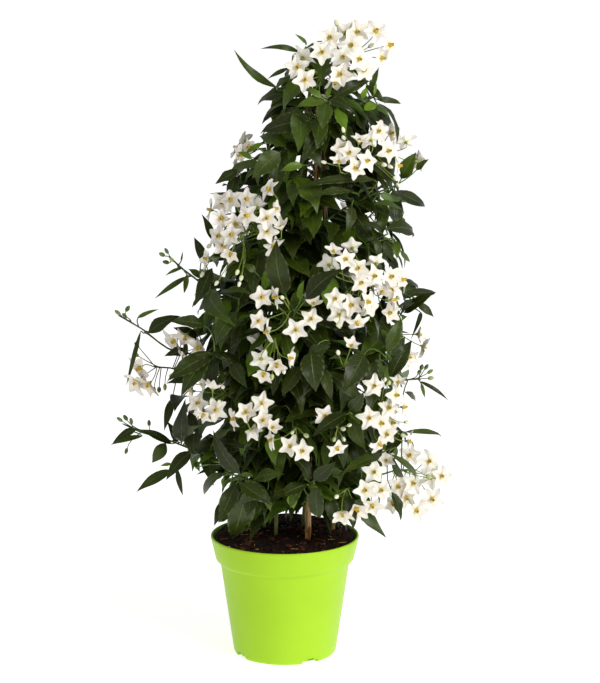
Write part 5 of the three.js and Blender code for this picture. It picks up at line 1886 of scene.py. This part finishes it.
    def place_seen(self, skins: list[Skin]) -> None:
        """Adds the leaves that the photograph shows, each from the twig that is nearest to it.

        Args:
            skins: the skins of the stems, shoots and clusters.
        """
        feet = [(skin, foot, self.studio.pixel(foot)) for skin in skins
                for foot, _ in skin.feet(self.close_spacing)]
        for seen in SEEN_LEAVES:
            base = Vector(seen.base)
            skin, foot, pixel = min(
                feet, key=lambda f: (f[2] - base).length + self.depth_cost * f[1].y / MM
            )
            start = self.studio.sight(seen.base, foot.y - seen.forward * MM)
            length = (Vector(seen.tip) - base).length * MM
            nearer = foot.y - seen.forward * MM - self.seen_drop * length
            tip = self.studio.sight(seen.tip, nearer)
            axis = (tip - start).normalized()
            face = self.faced(start, axis)
            leaf = Blade(foot, start, tip, face, seen.width * MM, seen.arch, seen.tint, 0.5)
            skin.blades.append(leaf)
            self.occupy(self.samples(leaf))
            LOG.info("seen leaf at %s: %.0f px from its twig", seen.base, (pixel - base).length)

    def faced(self, start: Vector, axis: Vector) -> Vector:
        """The upper side of a leaf that turns to the viewer and a little to the light.

        Args:
            start: the blade's base.
            axis: the blade's direction.

        Returns:
            The way that it faces, of length 1.
        """
        viewer, sky = self.facing
        towards = (Vector(self.studio.eye) - start).normalized() * viewer + UP * sky
        return axis.cross(towards).normalized().cross(axis)

    def from_middle(self, point: Vector) -> float:
        """The distance of a point from the middle of the foliage at its height."""
        return math.hypot(point.x - float(self.section(point.z)[0]), point.y)

    def grown(self, foot: Vector, normal: Vector, turning: float, draw: Random) -> Blade:
        """Draws one leaf at a foot.

        Args:
            foot: where it grows from.
            normal: the way outwards from the twig there.
            turning: how far it may turn from straight outwards.
            draw: the random stream.

        Returns:
            The leaf.
        """
        middle = float(self.section(foot.z)[0])
        turn = math.atan2(foot.y, foot.x - middle) + draw.gauss(0, turning)
        out = Vector((math.cos(turn), math.sin(turn), 0))
        off_twig, off_plant = self.leaning
        way = normal * off_twig + out * off_plant + UP * draw.uniform(*self.rises)
        base = foot + way.normalized() * draw.uniform(*self.stalks)
        droop = draw.uniform(*self.droops)
        axis = out * math.cos(droop) - UP * math.sin(droop)
        roll = draw.gauss(0, self.rolling)
        flat = axis.cross(UP).normalized()
        face = (flat.cross(axis) * math.cos(roll) + flat * math.sin(roll)).normalized()
        length = draw.uniform(*self.lengths)
        tints = self.young_tints if length < self.young else self.old_tints
        return Blade(
            foot, base, base + axis * length, face, length * draw.uniform(*self.width),
            draw.uniform(*self.arches), draw.uniform(*tints), loose=1.0,
        )

    def grow(self, skins: list[Skin], draw: Random) -> None:
        """Adds the leaves to the skins that they grow from.

        Args:
            skins: the skins of the stems, shoots and clusters.
            draw: the random stream.
        """
        self.take_in(skins)
        self.place_seen(skins)
        for pixel in OPEN_SOIL:
            self.discs.append((self.studio.sight(pixel, self.soil_back), Vector((0, -1, 0))))
        feet = [(skin, *foot) for skin in skins for foot in skin.feet(self.spacing)]
        for growth in self.passes:
            near = [f for f in feet if self.from_middle(f[1]) < growth.reach]
            made, tries = 0, 0
            while made < growth.wanted and tries < self.tries:
                tries += 1
                skin, foot, normal = draw.choice(near)
                leaf = self.grown(foot, normal, growth.turning, draw)
                points = self.samples(leaf)
                if (
                    not self.inside(points)
                    or sum(self.cell_of(p) in self.taken for p in points) > growth.crossings
                    or self.hides_bloom(points)
                ):
                    continue
                skin.blades.append(leaf)
                self.occupy(points)
                made += 1
            LOG.info("further leaves: %d in %d tries", made, tries)


# The pot, its soil and the canes


def eased(profile: list[Pair], reach: float) -> list[Pair]:
    """Rounds the corners of a profile.

    Args:
        profile: radius and height of each corner.
        reach: how far from the corner the rounding begins.

    Returns:
        The profile with three points for each corner between its ends.
    """
    points = [Vector(corner) for corner in profile]
    found = [profile[0]]
    for before, corner, after in zip(points, points[1:], points[2:]):
        ahead = after - corner
        back = before - corner
        start = corner + back * min(reach / back.length, 0.4)
        end = corner + ahead * min(reach / ahead.length, 0.4)
        middle = (start + end + corner * 2) / 4
        found += [tuple(start), tuple(middle), tuple(end)]
    return [*found, profile[-1]]


def turned(name: str, profile: list[Pair], sides: int) -> Object:
    """Turns a closed solid about Z: a disc is drawn out through each station of a profile.

    Args:
        name: the object's name.
        profile: radius and height of each station, in metres.
        sides: the number of sides.

    Returns:
        The solid.
    """
    (radius, height), *rest = profile
    item = started(
        name, bpy.ops.mesh.primitive_circle_add, vertices=sides, radius=radius, fill_type="NGON",
        location=(0, 0, height),
    )
    edit(item, whole=True)
    for wide, high in rest:
        bpy.ops.mesh.extrude_region_move(TRANSFORM_OT_translate={"value": (0, 0, high - height)})
        factor = wide / radius
        bpy.ops.transform.resize(value=(factor, factor, 1), center_override=(0, 0, 0))
        radius, height = wide, high
    return facing_out(item)


@dataclass
class Pot:
    """The moulded nursery pot: a tapered cup with a deep stepped rim and notched feet."""

    sides: int = 96
    rim_radius: float = 75 * MM
    rim_lower_radius: float = 69.7 * MM
    rim_top: float = 122 * MM
    rim_bottom: float = 98 * MM
    shoulder_radius: float = 65.3 * MM
    shoulder: float = 94.5 * MM
    base_radius: float = 52 * MM
    foot_radius: float = 50.6 * MM
    wall: float = 2.1 * MM
    floor: float = 4 * MM
    lip: float = 1.6 * MM
    notches: int = 4
    first_notch: float = -60.0
    notch_size: Triple = (16 * MM, 18 * MM, 3.4 * MM)
    drain_size: Triple = (16 * MM, 7 * MM, 5.4 * MM)
    notch_place: float = 51.5 * MM

    def profile(self) -> list[Pair]:
        """Lists the corners of the wall, from the middle of the underside over the rim inwards.

        Returns:
            Radius and height of each.
        """
        return [
            (self.foot_radius - 4 * MM, 0),
            (self.foot_radius, 0),
            (self.base_radius, 2.5 * MM),
            (self.shoulder_radius, self.shoulder),
            (self.rim_lower_radius, self.rim_bottom),
            (self.rim_radius, self.rim_top - self.lip),
            (self.rim_radius - 0.5 * MM, self.rim_top),
            (self.rim_radius - self.wall, self.rim_top),
            (self.shoulder_radius - self.wall, self.shoulder),
            (self.base_radius - self.wall, self.floor),
            (self.base_radius - self.wall - 5 * MM, self.floor),
        ]

    def cutter(self) -> Object:
        """Makes the blocks that cut the foot notches and the drain slots.

        Returns:
            The blocks as one object.
        """
        blocks = []
        for i in range(self.notches):
            angle = math.radians(self.first_notch + i * 360 / self.notches)
            place = Vector((math.cos(angle), math.sin(angle), 0)) * self.notch_place
            for deep, wide, high in (self.notch_size, self.drain_size):
                blocks.append(started(
                    "notch_block", bpy.ops.mesh.primitive_cube_add, size=1,
                    location=place + UP * (high - 1 * MM) / 2, rotation=(0, 0, angle),
                    scale=(deep, wide, high + 1 * MM),
                ))
        return joined(blocks, "notch_blocks")

    def build(self) -> Object:
        """Builds the pot.

        Returns:
            The pot.
        """
        pot = turned("moulded_pot", eased(self.profile(), 0.8 * MM), self.sides)
        cutter = self.cutter()
        modified(pot, "BOOLEAN", operation="DIFFERENCE", object=cutter, solver="EXACT",
                 use_self=True)
        bpy.data.meshes.remove(cutter.data)
        pot.data.materials.clear()
        painted(pot, POT_PLASTIC)
        return dressed(pot, Slot.POT, "pot", angle=35)


@dataclass(frozen=True)
class Bit:
    """One kind of loose bit on the soil.

    `spans` are the least and the greatest length, width and height in millimetres. One that isn't
    long is as wide as it is long, and its spans leave out the width. `sink` is how much of its
    height lies in the soil.
    """

    name: str
    finish: Finish
    bumpy: float
    count: int
    sink: float
    spans: Rows
    long: bool = False
    thickness: float = 0.4 * MM

    def size(self, draw: Random) -> Triple:
        """Draws the length, width and height of one, in metres."""
        length, *rest = [draw.uniform(*span) * MM for span in self.spans]
        if not self.long:
            return length, length, rest[0]
        width, height = (*rest, self.thickness)[:2]
        return length, width, height


BITS = (
    Bit("clod", PEAT, 0.15, 460, 0.35, ((0.7, 2.6), (0.6, 1.6))),
    Bit("chip", BARK, 0.45, 34, 0.3, ((3, 8), (1.5, 3.5), (0.7, 1.4)), long=True),
    Bit("straw", STRAW, 0.0, 46, 0.1, ((2, 8), (0.25, 0.6)), long=True),
    Bit("perlite", PERLITE, 0.3, 9, 0.3, ((0.6, 1.1), (0.5, 0.9))),
)


@dataclass
class Soil:
    """The damp peat that fills the pot nearly to the rim, lumpy, with bark, straw and perlite.

    `crumbs` are the noise's roughness, step and octaves. The lumps grow from `edge_lump` of their
    height at the pot's wall. The outer ring is drawn in by `wall_gap`, and heights are read at
    `read_at` of the way out, so that a ray near the wall still meets the frame's soil.
    """

    sides: int = 96
    edge: float = 69.8 * MM
    level: float = 117 * MM
    inner_shoulder: Pair = (62.9 * MM, 94.5 * MM)
    bottom: Pair = (49.6 * MM, 4.4 * MM)
    ring: float = 2.2 * MM
    lump: float = 1.5 * MM
    lump_width: float = 9 * MM
    smooth_edge: float = 6 * MM
    crumbs: tuple[float, float, int] = (0.8, 2.1, 5)
    edge_lump: float = 0.3
    wall_gap: float = 0.995
    read_at: float = 0.97
    tilting: float = 0.25
    surface: BVHTree | None = field(default=None, init=False)

    def height(self, x: float, y: float) -> float:
        """The frame's soil surface at a place.

        Args:
            x: to the right.
            y: to the back.

        Returns:
            Its height.
        """
        hit = self.surface.ray_cast(Vector((x, y, 1)), -UP)[0]
        return hit.z if hit else self.level

    def bed(self) -> Object:
        """Models the filling, with a crumbly surface.

        Returns:
            The soil bed.
        """
        rings = int(self.edge / self.ring)
        inward = [(self.edge * (1 - i / rings), self.level) for i in range(1, rings)]
        item = turned(
            "peat_bed", [self.bottom, self.inner_shoulder, (self.edge, self.level), *inward],
            self.sides,
        )
        for vertex in item.data.vertices:
            if vertex.co.z > self.level - 1 * MM:
                x, y = vertex.co.x, vertex.co.y
                reach = min(1.0, (self.edge - math.hypot(x, y)) / self.smooth_edge)
                coarse = noise.fractal(Vector((x, y, 0)) / self.lump_width, *self.crumbs)
                shrink = self.wall_gap if reach <= 0 else 1.0
                swell = self.edge_lump + (1 - self.edge_lump) * reach
                vertex.co = (x * shrink, y * shrink, self.lump * coarse * swell
                             + self.height(x * self.read_at, y * self.read_at))
        painted(item, PEAT)
        return item

    def scattered(self, bit: Bit, draw: Random) -> list[Object]:
        """Scatters one kind of bit over the soil.

        Args:
            bit: the kind.
            draw: the random stream.

        Returns:
            The bits.
        """
        pattern = self.crumb(bit)
        found = []
        for _ in range(bit.count):
            size = bit.size(draw)
            reach = (self.edge - max(size) - 1 * MM) * math.sqrt(draw.random())
            turn = draw.uniform(0, 2 * math.pi)
            x, y = reach * math.cos(turn), reach * math.sin(turn)
            spin = Matrix.Rotation(draw.uniform(0, 2 * math.pi), 3, "Z")
            tilt = spin @ Matrix.Rotation(draw.gauss(0, self.tilting), 3, "X")
            points = pattern.places * np.array(size) @ np.array(tilt.transposed())
            middle = np.array((x, y, self.height(x, y) + size[2] * (1 - 2 * bit.sink)))
            found.append(pattern.copy(points + middle, draw.random()))
        pattern.remove()
        return found

    def crumb(self, bit: Bit) -> Pattern:
        """Models a bit of radius 1.

        Args:
            bit: the kind.

        Returns:
            The bit to copy.
        """
        item = started(
            bit.name, bpy.ops.mesh.primitive_ico_sphere_add,
            subdivisions=2 if bit.bumpy > 0.2 else 1, radius=1,
        )
        seed = Vector((3, 1, len(bit.name)))
        for vertex in item.data.vertices:
            vertex.co *= 1 + bit.bumpy * noise.noise(vertex.co * 1.7 + seed)
        painted(item, bit.finish)
        return Pattern(item)

    def build(self, node: Object, draw: Random) -> None:
        """Builds the soil.

        Args:
            node: the frame's soil.
            draw: the random stream.
        """
        self.surface = BVHTree.FromObject(node, bpy.context.evaluated_depsgraph_get())
        dressed(self.bed(), Slot.SOIL, "soil", angle=70)
        litter = [item for bit in BITS for item in self.scattered(bit, draw)]
        dressed(joined(litter, "soil_litter"), Slot.SOIL, angle=60)


def ends_of(node: Object) -> tuple[tuple[Vector, float], tuple[Vector, float]]:
    """Finds the two ends of a straight rod of the frame.

    Args:
        node: the rod.

    Returns:
        The middle and radius of its lower end, then of its upper one.
    """
    points = sorted((v.co.copy() for v in node.data.vertices), key=lambda p: p.z)
    found = []
    for end in (points[0].z, points[-1].z):
        ring = [p for p in points if abs(p.z - end) < 3 * MM]
        low, high = (Vector([f(p[i] for p in ring) for i in range(3)]) for f in (min, max))
        middle = (low + high) / 2
        found.append((middle, max((p - middle).length for p in ring)))
    return found[0], found[1]


@dataclass
class Cane:
    """One bamboo cane: a slightly crooked culm with raised joints and a hollow top.

    The rows of `ring` and `top` are shares of the culm's radius, and distances from the middle of a
    joint or from the top end.
    """

    node: str
    sides: int = 14
    first_joint: float = 62 * MM
    joint: float = 97 * MM
    last_joint: float = 12 * MM
    ring: Rows = (
        (1.0, -30 * MM), (1.0, -5 * MM), (1.16, -0.8 * MM), (0.94, 0.0), (1.16 * 0.97, 0.9 * MM),
        (1.0, 4 * MM), (1.0, 30 * MM),
    )
    top: Rows = (
        (1.0, -0.6 * MM), (0.94, 0.0), (0.45, 0.0), (0.45, -4 * MM),
    )
    crook: float = 0.6 * MM

    def stations(self, length: float) -> list[Pair]:
        """Lists the culm's widths along it: a raised ring over a fine groove at each joint.

        Args:
            length: the cane's length.

        Returns:
            The share of its radius, and the distance, of each station.
        """
        found = [(1.0, 0.0)]
        place = self.first_joint
        while place < length - self.last_joint:
            found += [(wide, place + shift) for wide, shift in self.ring if place + shift >= 0]
            place += self.joint
        return found + [(wide, length + shift) for wide, shift in self.top]

    def build(self, node: Object) -> Object:
        """Builds the cane.

        Args:
            node: the frame's cane.

        Returns:
            The cane.
        """
        (low, foot), (high, tip) = ends_of(node)
        way = high - low
        length = way.length
        radius = (foot + tip) / 2
        name = self.node.replace("bamboo_cane", "bamboo_culm")
        item = turned(name, [(r * radius, z) for r, z in self.stations(length)], self.sides)
        seed = Vector((foot, tip, len(name))) * 3.7
        for vertex in item.data.vertices:
            share = vertex.co.z / length
            taper = (foot + (tip - foot) * share) / radius
            sway = noise.noise_vector(seed + Vector((0, 0, share * 4))) * self.crook
            vertex.co = (vertex.co.x * taper + sway.x, vertex.co.y * taper + sway.y, vertex.co.z)
        turn = UP.rotation_difference(way.normalized()).to_matrix().to_4x4()
        item.data.transform(Matrix.Translation(low) @ turn)
        painted(item, BAMBOO)
        return dressed(item, Slot.CANE, self.node, angle=40)


@dataclass
class MainStem:
    """One of the vine's main stems, rounded from its node and a little knotty."""

    name: str
    skin: Skin
    growth: float = 0.35 * MM
    knots: float = 0.25 * MM
    knot_size: float = 7 * MM

    def build(self, leaves: LeafMaker, draw: Random) -> None:
        """Builds the stem, and the leaves that grow straight from it.

        Args:
            leaves: shapes the leaves.
            draw: the random stream.
        """
        blades = [item for leaf in self.skin.blades for item in leaves.made(leaf, draw)]
        item = self.skin.bare(self.name.replace("main_stem", "vine_stem"), self.growth, 2)
        normals = [v.normal.copy() for v in item.data.vertices]
        for vertex, normal in zip(item.data.vertices, normals):
            vertex.co += normal * self.knots * noise.fractal(vertex.co / self.knot_size, 0.9, 2, 3)
        painted(item, GREEN_BARK)
        dressed(item, Slot.STEM, self.name)
        if blades:
            dressed(joined(blades, f"{self.name}_leaves"), Slot.LEAF)


# The whole


def kind_of(name: str) -> Kind | None:
    """Tells what a node of the frame is from its plain name.

    Args:
        name: the node's name.

    Returns:
        Its kind, or None for the pot and the soil.
    """
    if name.startswith(Kind.MAIN_STEM.value):
        return Kind.MAIN_STEM
    if name.startswith(Kind.CANE.value):
        return Kind.CANE
    if name.endswith(("cluster", "bloom")):
        return Kind.CLUSTER
    if name.endswith(("shoot", "sprig")):
        return Kind.SHOOT
    return None


# Leaves shorter than YOUNG_LENGTH are young, and so are more and more of those up in the crown. A
# leaf's tint runs from 0, old, to 1, young: a drawn share, and one each for being small and high
YOUNG_LENGTH = 34 * MM
CROWN_FOOT = 480 * MM
CROWN_HEIGHT = 150 * MM
TINT_DRAWN = (0.05, 0.5)
TINT_SMALL = 0.6
TINT_HIGH = 0.15


def aged(skin: Skin, draw: Random) -> None:
    """Gives each leaf of a skin its age: small ones near the top are young and bright."""
    for leaf in skin.blades:
        length = (leaf.tip - leaf.base).length
        small = max(0.0, 1 - length / YOUNG_LENGTH)
        high = max(0.0, (leaf.base.z - CROWN_FOOT) / CROWN_HEIGHT)
        leaf.tint = min(1.0, draw.uniform(*TINT_DRAWN) + small * TINT_SMALL + high * TINT_HIGH)


def main() -> None:
    """Builds the whole scene in order."""
    logging.basicConfig(level=logging.INFO, format="%(name)s: %(message)s")
    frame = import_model()
    draw = Random(20)
    studio = Studio()
    studio.build()
    nodes = frame["nodes"]
    Pot().build()
    Soil().build(nodes["soil"], draw)
    for name in nodes:
        if kind_of(name) is Kind.CANE:
            Cane(name).build(nodes[name])
    leafy = (Kind.CLUSTER, Kind.SHOOT, Kind.MAIN_STEM)
    skins = {name: Skin(node) for name, node in nodes.items() if kind_of(name) in leafy}
    for name, skin in skins.items():
        aged(skin, draw)
    found = [sum(len(part) for part in parts) for parts in zip(
        *[(s.blooms, s.buds, s.blades) for s in skins.values()])]
    LOG.info("read from the frame: %d flowers, %d buds, %d leaves", *found)
    filling = Filling(studio)
    filling.retouch(skins)
    filling.grow(list(skins.values()), draw)
    leaves, flowers = LeafMaker(), FlowerMaker()
    for name, skin in skins.items():
        kind = kind_of(name)
        if kind is Kind.MAIN_STEM:
            MainStem(name, skin).build(leaves, draw)
        else:
            Spray(name, kind, skin).build(leaves, flowers, draw)
    leaves.remove()
    flowers.remove()


if __name__ == "__main__":
    main()
